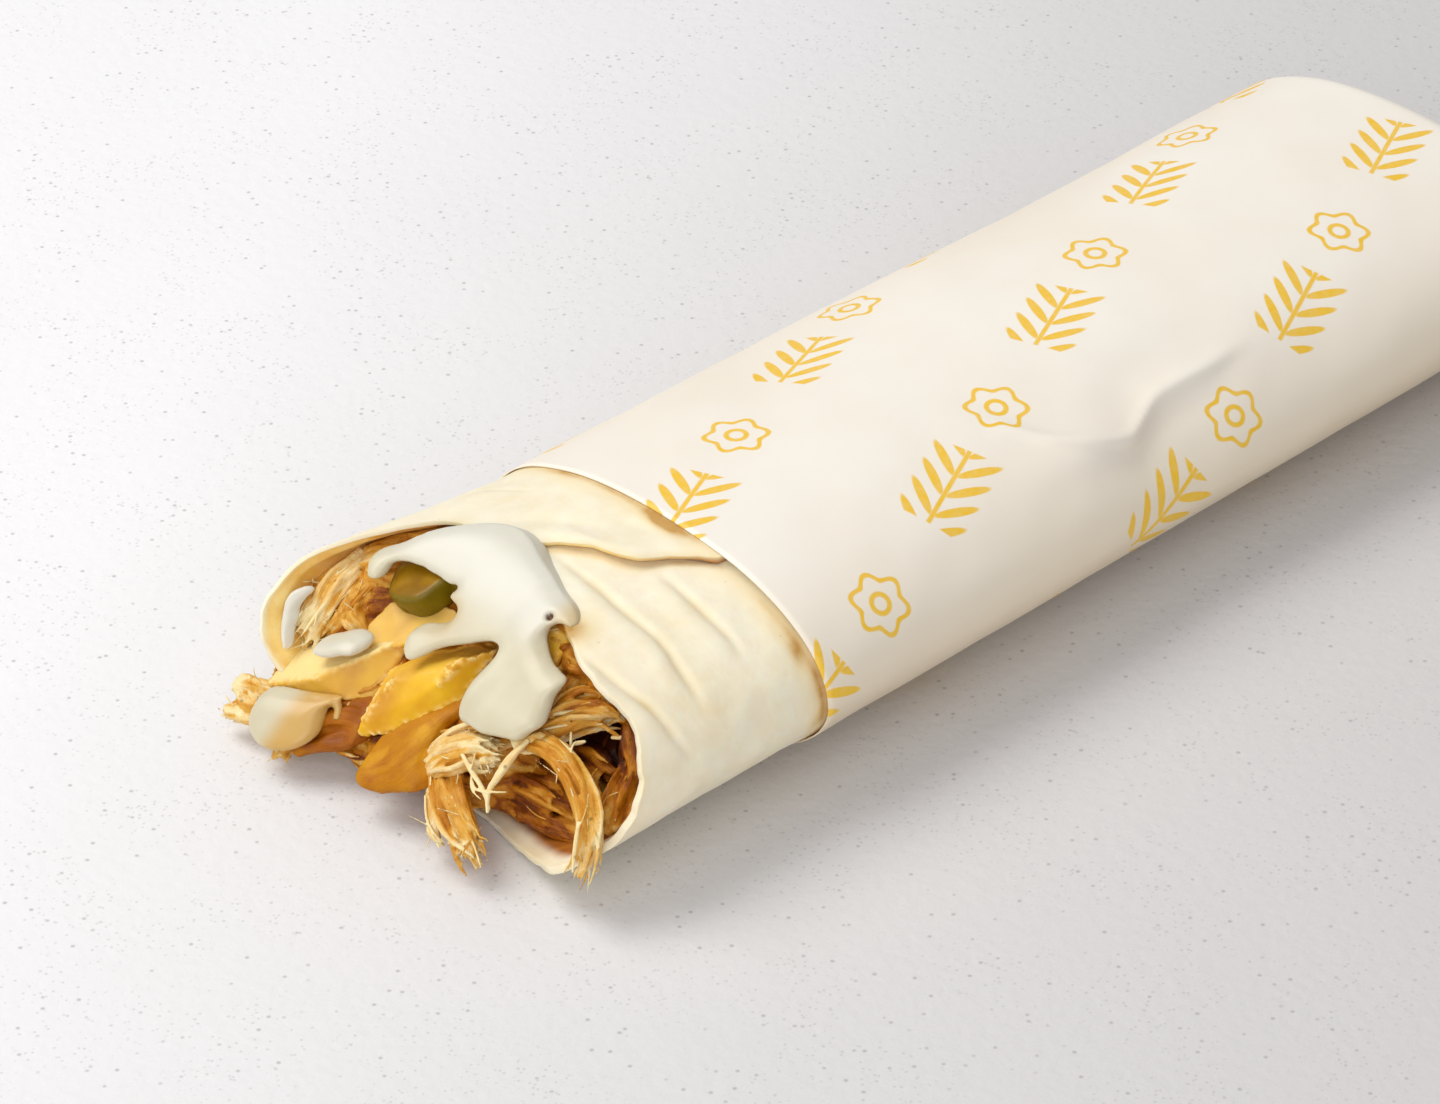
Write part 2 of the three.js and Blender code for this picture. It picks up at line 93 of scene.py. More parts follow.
def through(pairs):
    """A smooth curve through [place, value] pairs."""
    places, values = np.array(pairs, float).T
    wide = np.concatenate([values[:1], values, values[-1:]])

    def curve(x):
        i = np.clip(np.searchsorted(places, x, side="right") - 1, 0, len(places) - 2)
        t = np.clip((x - places[i]) / (places[i + 1] - places[i]), 0, 1)
        start, end = values[i], values[i + 1]
        rise = (end - wide[i]) / 2
        fall = (wide[i + 3] - start) / 2
        a = 2 * start - 2 * end + rise + fall
        b = 3 * end - 3 * start - 2 * rise - fall
        return ((a * t + b) * t + rise) * t + start

    return curve


def level(degrees):
    """A turn brought to between -180 and 180 degrees."""
    return (np.asarray(degrees, float) + 180) % 360 - 180


def ripple(a, b, c=0.0):
    """Small uneven bumps between -1 and 1, about one unit of a, b and c apart."""
    first = np.sin(2.1 * a + 1.3 * b + 0.7 * c)
    second = np.sin(1.7 * b - 2.3 * c + 1.1 * a + 1)
    third = np.sin(2.6 * c + 0.9 * a - 1.9 * b + 2)
    return (first + second + third) / 3


print("smooth in quarters:", smooth(0, 1, [0, 0.25, 0.5, 0.75, 1]).round(2))

# %% [markdown]
# The section is an oval, flat underneath where the roll rests. Towards the open end it spreads on one
# side and sinks a little, and deep in the sleeve the bread is a little smaller than the paper.

# %% The roll's section and its open end
SLEEVE_LENGTH = 172
HALF_WIDTH = 36
HALF_HEIGHT = 17.4
MIDDLE_Z = 16.6
TOP_POWER = 2.2  # the section's top half: 2 is an ellipse, and more is squarer
LOW_POWER = 1.85
MOUTH_DEPTH = 36  # how far out of the sleeve the roll is fully open
FLARE = 5.2  # how far it opens sideways on its +Y side
FLARE_TURN = 30  # the turn at which it opens most
FLARE_SPREAD = 34  # and how far round that reaches
FLARE_LIFT = 0.2  # the share of the flare that also goes up
NARROWING = 0.02  # the -Y side draws in by this share
SINK = 0.6  # how far the open end sinks to the floor
SLACK = 2.4  # air between the paper and the bread, deep in the sleeve
SLACK_FROM, SLACK_TO = 4, 45  # x where that air begins and where it is full
BREAD_INSET = 0.85
BREAD_THICK = 1.6
OVERLAP_STEP = 1.6
BREAD_END = 163


def power_of(value, power):
    return np.sign(value) * np.abs(value) ** (2 / power)


def oval(degrees, inset):
    """Y and Z of the flattened oval section, so far inside the sleeve's outer face."""
    c = np.cos(np.radians(degrees))
    s = np.sin(np.radians(degrees))
    power = np.where(s < 0, LOW_POWER, TOP_POWER)
    y = (HALF_WIDTH - inset) * power_of(c, power)
    return y, MIDDLE_Z + (HALF_HEIGHT - inset) * power_of(s, power)


def roll_point(x, degrees, inset):
    """A point of the roll. Out of the sleeve it flares to +Y and sinks to the floor."""
    out = smooth(0, -MOUTH_DEPTH, x)
    slack = SLACK * smooth(SLACK_FROM, SLACK_TO, x)
    y, z = oval(degrees, inset + slack)
    opened = np.clip(-x / MOUTH_DEPTH, 0, 1)
    flare = FLARE * opened * bell((level(degrees) - FLARE_TURN) / FLARE_SPREAD)
    y = y * np.where(y > 0, 1, 1 - NARROWING * out) + flare
    z = np.maximum(z + FLARE_LIFT * flare - SINK * out, inset + slack - SINK * out)
    return np.stack([x + 0 * y, y, z], axis=-1)


print("widest and highest, at the sleeve's edge:", roll_point(0.0, np.array([0, 90]), 0).round(1).tolist())

# %% [markdown]
# Two habits keep the script safe. Everything is deselected before a new primitive is added, because the
# loaded model comes in selected. And each finished mesh keeps its place in its vertices, with its object
# at the origin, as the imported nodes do.

# %% Making, finishing and handing over a piece
def only(piece):
    """Selects this piece alone."""
    bpy.ops.object.select_all(action="DESELECT")
    piece.select_set(True)
    bpy.context.view_layer.objects.active = piece


def numbers(items, name):
    """A three-part property of a mesh's vertices or faces, as an array with one row for each."""
    flat = np.empty(len(items) * 3)
    items.foreach_get(name, flat)
    return flat.reshape(-1, 3)


def places_of(piece):
    return numbers(piece.data.vertices, "co")


def move_to(piece, points):
    piece.data.vertices.foreach_set("co", np.asarray(points, float).ravel())
    piece.data.update()


def paint(piece, name, values):
    """Keeps one number for each vertex, which a material can read as an attribute."""
    layer = piece.data.attributes.get(name) or piece.data.attributes.new(name, "FLOAT", "POINT")
    layer.data.foreach_set("value", np.asarray(values, np.float32).ravel())


def painted(piece, name):
    values = np.empty(len(piece.data.vertices), np.float32)
    piece.data.attributes[name].data.foreach_get("value", values)
    return values


def apply_modifier(piece, kind, **settings):
    """Adds a modifier, sets it and applies it at once."""
    only(piece)
    modifier = piece.modifiers.new(kind.lower(), kind)
    for name, value in settings.items():
        setattr(modifier, name, value)
    bpy.ops.object.modifier_apply(modifier=modifier.name)


def edit(piece, operator, **settings):
    """Runs one edit-mode operator on the whole of a piece."""
    only(piece)
    bpy.ops.object.mode_set(mode="EDIT")
    bpy.ops.mesh.select_all(action="SELECT")
    operator(**settings)
    bpy.ops.object.mode_set(mode="OBJECT")


def outward(piece):
    """Turns every face of a closed mesh outwards."""
    edit(piece, bpy.ops.mesh.normals_make_consistent, inside=False)


def face_out(piece):
    """Turns an open rolled sheet so that its faces point away from the roll's middle line."""
    normals = numbers(piece.data.polygons, "normal")
    away = numbers(piece.data.polygons, "center") - (0, 0, MIDDLE_Z)
    if (normals[:, 1:] * away[:, 1:]).sum() < 0:
        edit(piece, bpy.ops.mesh.flip_normals)


def hand_over(piece, material, slot, *nodes):
    """Takes a finished mesh from millimetres to its place in the frame, and dresses it."""
    points = places_of(piece) * MM + (EDGE_X, MIDDLE_Y, 0)
    move_to(piece, points)
    piece.data.materials.clear()
    piece.data.materials.append(material)
    only(piece)
    bpy.ops.object.shade_smooth()
    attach(piece, "root")
    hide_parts(*nodes)
    size = np.ptp(points, axis=0) / MM
    print(f"{piece.name}: {len(piece.data.polygons)} faces, {size.round(1)} mm")


def grid_sheet(name, columns, rows):
    """A flat grid primitive, with each vertex's place on it from 0 to 1 along both sides."""
    bpy.ops.object.select_all(action="DESELECT")
    bpy.ops.mesh.primitive_grid_add(x_subdivisions=columns, y_subdivisions=rows, size=1)
    piece = bpy.context.object
    piece.name = name
    piece.data.name = name
    flat = places_of(piece)[:, :2] + 0.5
    return piece, flat[:, 0], flat[:, 1]


def lay_uv(piece, u, v):
    """Sets the UV map from two numbers for each vertex, here in millimetres on the flat sheet."""
    corners = np.empty(len(piece.data.loops), np.int32)
    piece.data.loops.foreach_get("vertex_index", corners)
    layer = piece.data.uv_layers.active or piece.data.uv_layers.new(name="UVMap")
    layer.data.foreach_set("uv", np.stack([u[corners], v[corners]], axis=-1).astype(np.float32).ravel())

# %% [markdown]
# A material is a small graph of nodes. One function adds a node, sets it and links it, so that each
# material below reads as a list of what happens to the colour and the surface.

# %% The one function for nodes, and colours as they look on a screen
def colour(code):
    """An sRGB colour such as #F4EFE2 as the linear numbers that a shader takes."""
    parts = [int(code[i:i + 2], 16) / 255 for i in (1, 3, 5)]
    return [p / 12.92 if p <= 0.04045 else ((p + 0.055) / 1.055) ** 2.4 for p in parts] + [1]


def new_material(name):
    """An empty material, and the function that adds nodes to it."""
    material = bpy.data.materials.new(name)
    material.use_nodes = True
    tree = material.node_tree
    tree.nodes.clear()

    def add(kind, *inputs, output=0, stops=(), **settings):
        """Adds a node, sets its options, fills its inputs with values or links, and gives one output.

        The kind may be followed by an operation. Inputs come in order, or by name or number in a
        dictionary, and stops are the places and colours of a ramp.
        """
        kind, *operations = kind.split()
        new = tree.nodes.new("ShaderNode" + kind)
        for operation in operations:
            new.operation = operation
        for option, value in settings.items():
            setattr(new, option, value)
        filled = inputs[0] if inputs and isinstance(inputs[0], dict) else dict(enumerate(inputs))
        for key, value in filled.items():
            if isinstance(value, bpy.types.NodeSocket):
                tree.links.new(value, new.inputs[key])
            else:
                new.inputs[key].default_value = value
        elements = new.color_ramp.elements if stops else ()
        while len(elements) < len(stops):
            elements.new(0.5)
        for element, (place, code) in zip(elements, stops):
            element.position = place
            element.color = colour(code)
        return new.outputs[output] if new.outputs else new

    return material, add


BLEND = {"output": 2, "data_type": "RGBA"}  # a Mix node's colours are inputs 6 and 7, and its share is 0
VALUE = {"output": 2}  # the output of an Attribute node that gives one number
PLACE = {"output": 3}  # the output of a Texture Coordinate node that gives the place in metres
print("middle grey, as light:", round(colour("#808080")[0], 3))

# %% [markdown]
# The stage is a plain pale floor with soft light from behind and above, as in a food studio. The lens is
# long, which keeps the far end of the roll from shrinking. The camera looks down on the open end from
# the left, and the light comes from the +Y side, so the near side falls into a soft shade.

# %% Floor, light and camera
FLOOR_SIZE = 4
CAMERA_AZIMUTH = math.radians(-44.07)
CAMERA_ELEVATION = math.radians(34.48)
CAMERA_DISTANCE = 0.840
LENS = 135.35
AIM = (33.68, 21.23, 0)  # mm, from the sleeve's open edge
KEY_PLACE = (-0.40, 0.72, 1.20)
KEY_SIZE = 0.9
KEY_WATTS = 13
FILL_PLACE = (-1.1, -0.7, 0.8)
FILL_SIZE = 1.2
FILL_WATTS = 10
WORLD_LIGHT = 0.48

FLOOR_SHADE = (0.57, -0.84, 0)  # the direction in which the floor falls into shade
# Pits, and finer specks: cells for each metre, their inner and outer radius as shares of a cell, how dark
# they are, and the noise that gathers them in patches, with its detail and the range it fades over.
PITS = [
    [360, 0.06, 0.16, 1.0, 90, 1, 0.34, 0.46],
    [820, 0.12, 0.26, 0.5, 55, 2, 0.42, 0.56],
]


def painted_stone():
    """Plaster with matt paint: a little grainy, pitted, and painted darker to one side as shade."""
    material, add = new_material("painted_stone")
    here = add("TexCoord", **PLACE)
    grain = add("TexNoise", {"Vector": here, "Scale": 420, "Detail": 3})
    wide = add("TexNoise", {"Vector": here, "Scale": 12, "Detail": 4})
    # Painted shade: the floor's colour darkens steadily along FLOOR_SHADE.
    away = add("VectorMath DOT_PRODUCT", here, FLOOR_SHADE, output=1)
    uneven = add("Math MULTIPLY_ADD", wide, 0.16, add("MapRange", away, -0.13, 0.17))
    paint_coat = add("ValToRGB", uneven, stops=[[0.05, "#F0EFEF"], [0.5, "#D9D7D6"], [1.0, "#C9C6C4"]])
    marks = []
    for cells, inner_radius, outer_radius, dark, patches, detail, low, high in PITS:
        spots = add("TexVoronoi", {"Vector": here, "Scale": cells, "Randomness": 1.0})
        gathered = add("TexNoise", {"Vector": here, "Scale": patches, "Detail": detail})
        mark = add("MapRange", spots, inner_radius, outer_radius, dark, 0.0)
        marks.append(add("Math MULTIPLY", mark, add("MapRange", gathered, low, high)))
    dusty = add("Math MULTIPLY", add("Math MAXIMUM", *marks), 0.55)
    tint = add("Mix", {0: dusty, 6: paint_coat, 7: colour("#9B9796")}, **BLEND)
    bump = add("Bump", {"Height": grain, "Strength": 0.3, "Distance": 0.0006})
    surface = add("BsdfPrincipled", {"Base Color": tint, "Roughness": 0.8, "Normal": bump})
    add("OutputMaterial", {"Surface": surface})
    return material


bpy.ops.object.select_all(action="DESELECT")
bpy.ops.mesh.primitive_plane_add(size=FLOOR_SIZE)
floor = bpy.context.object
floor.name = "floor"
floor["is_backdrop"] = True
floor.data.materials.append(painted_stone())


def soft_light(name, place, size, watts, warmth):
    """A square area light that points at the object's middle."""
    light = bpy.data.lights.new(name, "AREA")
    light.size = size
    light.energy = watts
    light.color = colour(warmth)[:3]
    lamp = bpy.data.objects.new(name, light)
    bpy.context.scene.collection.objects.link(lamp)
    lamp.location = place
    lamp.rotation_mode = "QUATERNION"
    lamp.rotation_quaternion = (-Vector(place)).to_track_quat("-Z", "Y")


soft_light("key_window", KEY_PLACE, KEY_SIZE, KEY_WATTS, "#FFFDFA")
soft_light("fill_card", FILL_PLACE, FILL_SIZE, FILL_WATTS, "#FFFFFF")
world = bpy.data.worlds.new("studio")
world.use_nodes = True
sky = world.node_tree.nodes["Background"].inputs
sky["Color"].default_value = colour("#F1F2F7")
sky["Strength"].default_value = WORLD_LIGHT
bpy.context.scene.world = world
bpy.context.scene.view_settings.view_transform = "Standard"

aim = Vector(AIM) * MM + Vector((EDGE_X, MIDDLE_Y, 0))
level_back = math.cos(CAMERA_ELEVATION)
back = Vector((
    math.sin(CAMERA_AZIMUTH) * level_back,
    -math.cos(CAMERA_AZIMUTH) * level_back,
    math.sin(CAMERA_ELEVATION),
))
camera = bpy.data.objects.new("camera", bpy.data.cameras.new("camera"))
bpy.context.scene.collection.objects.link(camera)
camera.data.lens = LENS
camera.location = aim + back * CAMERA_DISTANCE
camera.rotation_mode = "QUATERNION"
camera.rotation_quaternion = (-back).to_track_quat("-Z", "Y")
bpy.context.scene.camera = camera
print("camera at", [round(value, 2) for value in camera.location], "m, lens", LENS, "mm")

# %% [markdown]
# The sleeve's paper is thin greaseproof paper, bleached and a little warm, with a yellow print. It is
# slightly see-through, so the light that goes into it comes out soft. The print is drawn by numbers on
# the sheet's own UV map, which is in millimetres: sprigs of leaves and outlined blossoms in rows that
# are set off against each other. Nothing of it is an image.

# %% Greaseproof paper with a yellow print
PRINT_YELLOW = "#F6C21E"
PRINT_TURN = math.radians(24)  # how far the rows lean against the roll's length
ROW_STEP = 33.0
ALONG_STEP = 46.0
SPRIG_PLACE = 14  # where a sprig's middle is in each repeat
SPRIG_LENGTH = 17.0
STEM_HALF = 0.38
LEAF_STEP = 4.6
LEAF_OUT = 2.9  # a leaf's middle, to the side of the stem
LEAF_LONG = 2.7
LEAF_WIDE = 1.15
BLOSSOM_PLACE = 20.0  # from the sprig's middle
BLOSSOM_RADIUS = 4.3
BLOSSOM_LINE = 0.42
PETALS = 6.0
PETAL_DEPTH = 0.55
EYE_RADIUS = 1.5
PRINT_BLUR = 0.12  # mm, the soft edge of the ink


def greaseproof_paper():
    material, add = new_material("greaseproof_paper")
    flat = add("UVMap")
    turned = add("Mapping", {"Vector": flat, "Rotation": (0, 0, PRINT_TURN)})
    along = add("SeparateXYZ", turned)
    across = add("SeparateXYZ", turned, output=1)
    row = add("Math FLOOR", add("Math DIVIDE", across, ROW_STEP))
    shifted = add("Math MULTIPLY_ADD", row, 0.5 * ALONG_STEP, along)
    x = add("Math SUBTRACT", add("Math FLOORED_MODULO", shifted, ALONG_STEP), SPRIG_PLACE)
    y = add("Math SUBTRACT", add("Math FLOORED_MODULO", across, ROW_STEP), ROW_STEP / 2)
    side = add("Math ABSOLUTE", y)
    # A sprig: a stem, and leaves that repeat along it and lean forward on both sides of it.
    forward = add("Math FLOORED_MODULO", add("Math SUBTRACT", x, side), LEAF_STEP)
    lean = add("Math DIVIDE", add("Math SUBTRACT", forward, LEAF_STEP / 2), LEAF_WIDE)
    reach = add("Math DIVIDE", add("Math SUBTRACT", side, LEAF_OUT), LEAF_LONG)
    leaf = add("Math SQRT", add("Math MULTIPLY_ADD", lean, lean, add("Math MULTIPLY", reach, reach)))
    leaf = add("Math MULTIPLY", add("Math SUBTRACT", leaf, 1.0), LEAF_WIDE)
    beyond = add("Math SUBTRACT", add("Math ABSOLUTE", x), SPRIG_LENGTH / 2)
    stem = add("Math SUBTRACT", side, STEM_HALF)
    sprig = add("Math MAXIMUM", add("Math MINIMUM", leaf, stem), beyond)
    # A blossom: an outline with six petals round an outlined eye.
    ahead = add("Math SUBTRACT", x, BLOSSOM_PLACE)
    radius = add("Math SQRT", add("Math MULTIPLY_ADD", ahead, ahead, add("Math MULTIPLY", y, y)))
    wave = add("Math COSINE", add("Math MULTIPLY", add("Math ARCTAN2", y, ahead), PETALS))
    petals = add("Math MULTIPLY_ADD", wave, PETAL_DEPTH, BLOSSOM_RADIUS)
    rim = add("Math ABSOLUTE", add("Math SUBTRACT", radius, petals))
    eye = add("Math ABSOLUTE", add("Math SUBTRACT", radius, EYE_RADIUS))
    line = add("Math SUBTRACT", add("Math MINIMUM", rim, eye), BLOSSOM_LINE)
    print_mark = add("MapRange", add("Math MINIMUM", sprig, line), -PRINT_BLUR, PRINT_BLUR, 1.0, 0.0)

    here = add("TexCoord", **PLACE)
    cloud = add("TexNoise", {"Vector": here, "Scale": 30, "Detail": 3})
    fibre = add("TexNoise", {"Vector": here, "Scale": 900, "Detail": 2})
    sheet = add("ValToRGB", cloud, stops=[[0.3, "#F6ECDA"], [0.7, "#FAF3E6"]])
    # Painted shade: the paper turns darker and warmer towards the lower sides of the roll.
    height = add("SeparateXYZ", here, output=2)
    leant_on = add("MapRange", height, 0.033, 0.014, 0.0, 0.85)
    sheet = add("Mix", {0: leant_on, 6: sheet, 7: colour("#EAD6B6")}, **BLEND)
    patchy = add("Math MULTIPLY", print_mark, add("Math MULTIPLY_ADD", fibre, 0.3, 0.78))
    inked_sheet = add("Mix", {0: patchy, 6: sheet, 7: colour(PRINT_YELLOW)}, **BLEND)
    bump = add("Bump", {"Height": cloud, "Strength": 0.25, "Distance": 0.0012})
    bump = add("Bump", {"Height": fibre, "Strength": 0.08, "Distance": 0.0002, "Normal": bump})
    surface = add("BsdfPrincipled", {
        "Base Color": inked_sheet,
        "Roughness": 0.5,
        "Subsurface Weight": 0.12,
        "Subsurface Radius": (1.0, 0.85, 0.7),
        "Subsurface Scale": 0.0015,
        "Normal": bump,
    })
    add("OutputMaterial", {"Surface": surface})
    return material


paper_material = greaseproof_paper()
print("paper nodes:", len(paper_material.node_tree.nodes))

# %% [markdown]
# The sleeve is one sheet of paper rolled to an oval tube and glued along its underside. A bent cylinder
# would do for a stiff tube, but paper shows every pull: so a flat grid is rolled up by formula, and its
# vertices are pressed in where the hand held it. A sharp pinched ridge runs over the near side, with
# the paper sunk on one side of it. The far end is closed like a bag: the lower flap is folded up, and
# the upper one comes down over it.

# %% The paper sleeve
PAPER_THICK = 0.22
SLEEVE_COLUMNS = 240
SLEEVE_ROWS = 176
UNDER_SHARE = 0.2  # of the columns, for the underside that is hardly seen
END_ROUND = 4.0
CORNER_SHARE = 0.06  # of the rows, for the rounded corner of the folded end
FLAP_SHARE = 0.09  # and for the two flaps that close it
FLAP_LAP = 2.4  # how far each flap reaches past the middle
FLAP_STEP = 0.9
# Dents in the paper: [x, turn in degrees, length, width in degrees, depth]. A ridge has a negative depth.
DENTS = [
    [77, 158, 14, 18, 2.0],
    [64, 138, 9, 9, -0.8],
    [87, 132, 9, 8, -0.7],
    [112, 150, 16, 18, 0.8],
    [40, 150, 16, 14, 0.6],
    [52, 60, 20, 20, 0.6],
    [120, 40, 24, 20, 0.8],
    [95, 8, 18, 16, 1.2],
]
# The pinched ridge: x against the turn, up one arm to its peak and along the other.
PINCH = through([
    [54.4, 119], [58.4, 128], [63.7, 135], [68.3, 140], [71.7, 142], [75, 139], [79.8, 134], [85, 133],
    [91.9, 133], [99.3, 132],
])
PINCH_WIDE = 1.6
PINCH_HIGH = 0.8
PINCH_HOLLOW = 0.85  # the paper is sunk this far beside the ridge, below it
HOLLOW_MIDDLE = 78  # x where it is sunk most
ARC_MM = 0.5  # roughly one degree of turn on the side of the roll, in mm


def paper_dent(x, degrees):
    """How far the paper is pushed in at a place."""
    depth = 0 * x
    for along, turn, length, width, deep in DENTS:
        depth = depth + deep * bell((x - along) / length) * bell(level(degrees - turn) / width)
    away = (degrees - PINCH(x)) * ARC_MM  # below the ridge where it is more than 0
    reach = smooth(50, 60, x) * smooth(104, 92, x)
    depth = depth - PINCH_HIGH * bell(away / PINCH_WIDE) * reach
    depth = depth + PINCH_HOLLOW * bell((away - 4.5) / 4) * reach * bell((x - HOLLOW_MIDDLE) / 14)
    depth = depth + 0.35 * bell((away + 5) / 4) * reach
    return depth + 0.10 * ripple(x / 9, degrees / 14) + 0.05 * ripple(x / 4, degrees / 7, 3)


def crowded(share):
    """Turns 0 to 1 into degrees from the glued seam below and round, with more columns over the top."""
    low = UNDER_SHARE / 2
    places = [[0, -90], [low, -30], [1 - low, 210], [1, 270]]
    return np.interp(share, *np.array(places).T)


def rolled_sleeve():
    piece, across, along = grid_sheet("paper_sleeve_sheet", SLEEVE_COLUMNS, SLEEVE_ROWS)
    degrees = crowded(across)
    body = 1 - CORNER_SHARE - FLAP_SHARE
    run = np.clip(along / body, 0, 1)
    turn = np.clip((along - body) / CORNER_SHARE, 0, 1) * math.pi / 2
    folded = np.clip((along - 1 + FLAP_SHARE) / FLAP_SHARE, 0, 1)
    x = run * (SLEEVE_LENGTH - END_ROUND) + END_ROUND * np.sin(turn)
    tuck = END_ROUND * (1 - np.cos(turn))
    dent = paper_dent(x, degrees)
    y, z = oval(degrees, dent + tuck)
    under = smooth(-62, -90, degrees) * 0.35  # the glued edge goes inside the other
    z = np.maximum(z, tuck + np.maximum(dent, 0) * 0.2)
    over = smooth(-8, 8, degrees) * smooth(188, 172, degrees)
    z = mix(z, MIDDLE_Z + mix(FLAP_LAP, -FLAP_LAP, over), folded)
    y = y * mix(1, mix(0.94, 0.82, over), folded)
    x = x - FLAP_STEP * mix(1, 0, over) * smooth(0, 0.3, folded) - 0.5 * folded * over
    move_to(piece, np.stack([x, y, z + under], axis=-1))
    steps = np.linspace(-90, 270, 721)  # for the girth, which is one side of the flat sheet
    ring = np.stack(oval(steps, 0), axis=-1)
    length = np.concatenate([[0], np.cumsum(np.linalg.norm(np.diff(ring, axis=0), axis=1))])
    lay_uv(piece, x + folded * HALF_HEIGHT, np.interp(degrees, steps, length))
    return piece


sleeve = rolled_sleeve()
face_out(sleeve)
apply_modifier(sleeve, "SOLIDIFY", thickness=PAPER_THICK, offset=-1)
outward(sleeve)
hand_over(sleeve, paper_material, "greaseproof_paper", "paper_sleeve")

# %% [markdown]
# Flatbread is thin, soft and matt: pale cream where the dough stayed flat, with ochre where it was
# toasted, and a few dark specks of flour that burnt. The same ochre is painted as shade along the
# pleats' grooves, by the paper's edge, and along and under the free flap. The colour follows three
# attributes that are painted on the mesh: toast and painted shade along folds and edges, the inner
# face, and the sauce that soaked it.

# %% Flatbread
def flatbread_material():
    material, add = new_material("flatbread_soft")
    here = add("TexCoord", **PLACE)
    toast = add("Attribute", **VALUE, attribute_name="toast")
    soaked = add("Attribute", **VALUE, attribute_name="soaked")
    cloud = add("TexNoise", {"Vector": here, "Scale": 70, "Detail": 4, "Roughness": 0.6})
    mottle = add("TexNoise", {"Vector": here, "Scale": 330, "Detail": 3})
    specks = add("TexVoronoi", {"Vector": here, "Scale": 260, "Randomness": 1.0})
    scarce = add("TexNoise", {"Vector": here, "Scale": 60, "Detail": 1})
    dough = add("ValToRGB", cloud, stops=[[0.3, "#F0E0BC"], [0.5, "#F6EACE"], [0.75, "#F9F0DC"]])
    fine = add("ValToRGB", mottle, stops=[[0.35, "#EFDFBC"], [0.6, "#F7EDD4"]])
    dough = add("Mix", {0: 0.35, 6: dough, 7: fine}, **BLEND)
    # The ochre marks toasting and painted shade alike.
    uneven = add("Math MULTIPLY", toast, add("Math MULTIPLY_ADD", mottle, 0.8, 0.6))
    amber = add("ValToRGB", uneven, stops=[[0.0, "#F0DCA2"], [0.5, "#DFBE74"], [1.0, "#BC8C38"]])
    browned = add("Math MINIMUM", uneven, 0.95)
    toasted = add("Mix", {0: browned, 6: dough, 7: amber}, **BLEND)
    burnt = add("MapRange", specks, 0.02, 0.1, 1.0, 0.0)
    rare = add("MapRange", scarce, 0.39, 0.45, 1.0, 0.0)
    dark = add("Math MULTIPLY", add("Math MULTIPLY", burnt, rare), 0.55)
    toasted = add("Mix", {0: dark, 6: toasted, 7: colour("#96794A")}, **BLEND)
    dark_juice = add("ValToRGB", mottle, stops=[[0.3, "#8E4A08"], [0.7, "#BC7414"]])
    light_juice = add("ValToRGB", mottle, stops=[[0.3, "#E8BA54"], [0.7, "#F5D88A"]])
    juicy = add("Attribute", **VALUE, attribute_name="juicy")
    juice = add("Mix", {0: juicy, 6: light_juice, 7: dark_juice}, **BLEND)
    skin = add("Mix", {0: soaked, 6: toasted, 7: juice}, **BLEND)
    bump = add("Bump", {"Height": cloud, "Strength": 0.5, "Distance": 0.0008})
    bump = add("Bump", {"Height": mottle, "Strength": 0.3, "Distance": 0.0003, "Normal": bump})
    surface = add("BsdfPrincipled", {
        "Base Color": skin,
        "Roughness": 0.62,
        "Subsurface Weight": 0.35,
        "Subsurface Radius": (1.0, 0.7, 0.4),
        "Subsurface Scale": 0.002,
        "Normal": bump,
    })
    add("OutputMaterial", {"Surface": surface})
    return material


bread_material = flatbread_material()
print("flatbread nodes:", len(bread_material.node_tree.nodes))

# %% [markdown]
# The bread is one round sheet rolled up like a carpet, so it is modelled as a spiral: a grid that starts
# tucked under the outer turn, goes once round and ends in a free flap that lies over its own beginning.
# Its rim is cut back at the top and pushed out below like a scoop. The pleats are soft steps: the bread
# is high on the side of the mouth, then drops sharply and rises slowly to the next one.

# %% The flatbread roll
# The rim: x against the turn in degrees, from the +Y side over the top.
RIM = through([
    [-180, -36.7], [-162, -39.8], [-146, -45], [-128, -43], [-108, -39.5], [-90, -38.5], [-50, -42],
    [-15, -45.5], [3, -44], [17, -40], [29, -34.5], [40, -27.5], [54, -20.5], [76, -18.6], [92, -21.4],
    [106, -27], [124, -30.6], [145, -31.2], [165, -34], [180, -36.7],
])
# The free edge of the outer turn: its turn in degrees, from the sleeve at 0 to the rim at 1.
SEAM = through([
    [0, 110.5], [0.08, 106.5], [0.2, 102], [0.38, 98.3], [0.48, 94.5], [0.56, 89.5], [0.75, 82.5], [1, 76],
])
# Pleats: [first turn, last turn, x at each of them, depth].
PLEATS = [
    [84, 152, -16, -20, 0.5],
    [104, 142, -8.3, -9, 0.45],
    [114, 168, -29.5, -25.5, 0.5],
    [38, 60, -10, -7, 0.2],
]
PLEAT_WIDE = 0.85
BREAD_COLUMNS = 330
BREAD_ROWS = 96
HUG = 0.5  # how far the bread swells against the paper at the sleeve's edge
HIDDEN_ROWS = 0.14  # the share of the rows that are deep in the sleeve
TUCKED = 0.17  # the share of a turn that lies under the flap


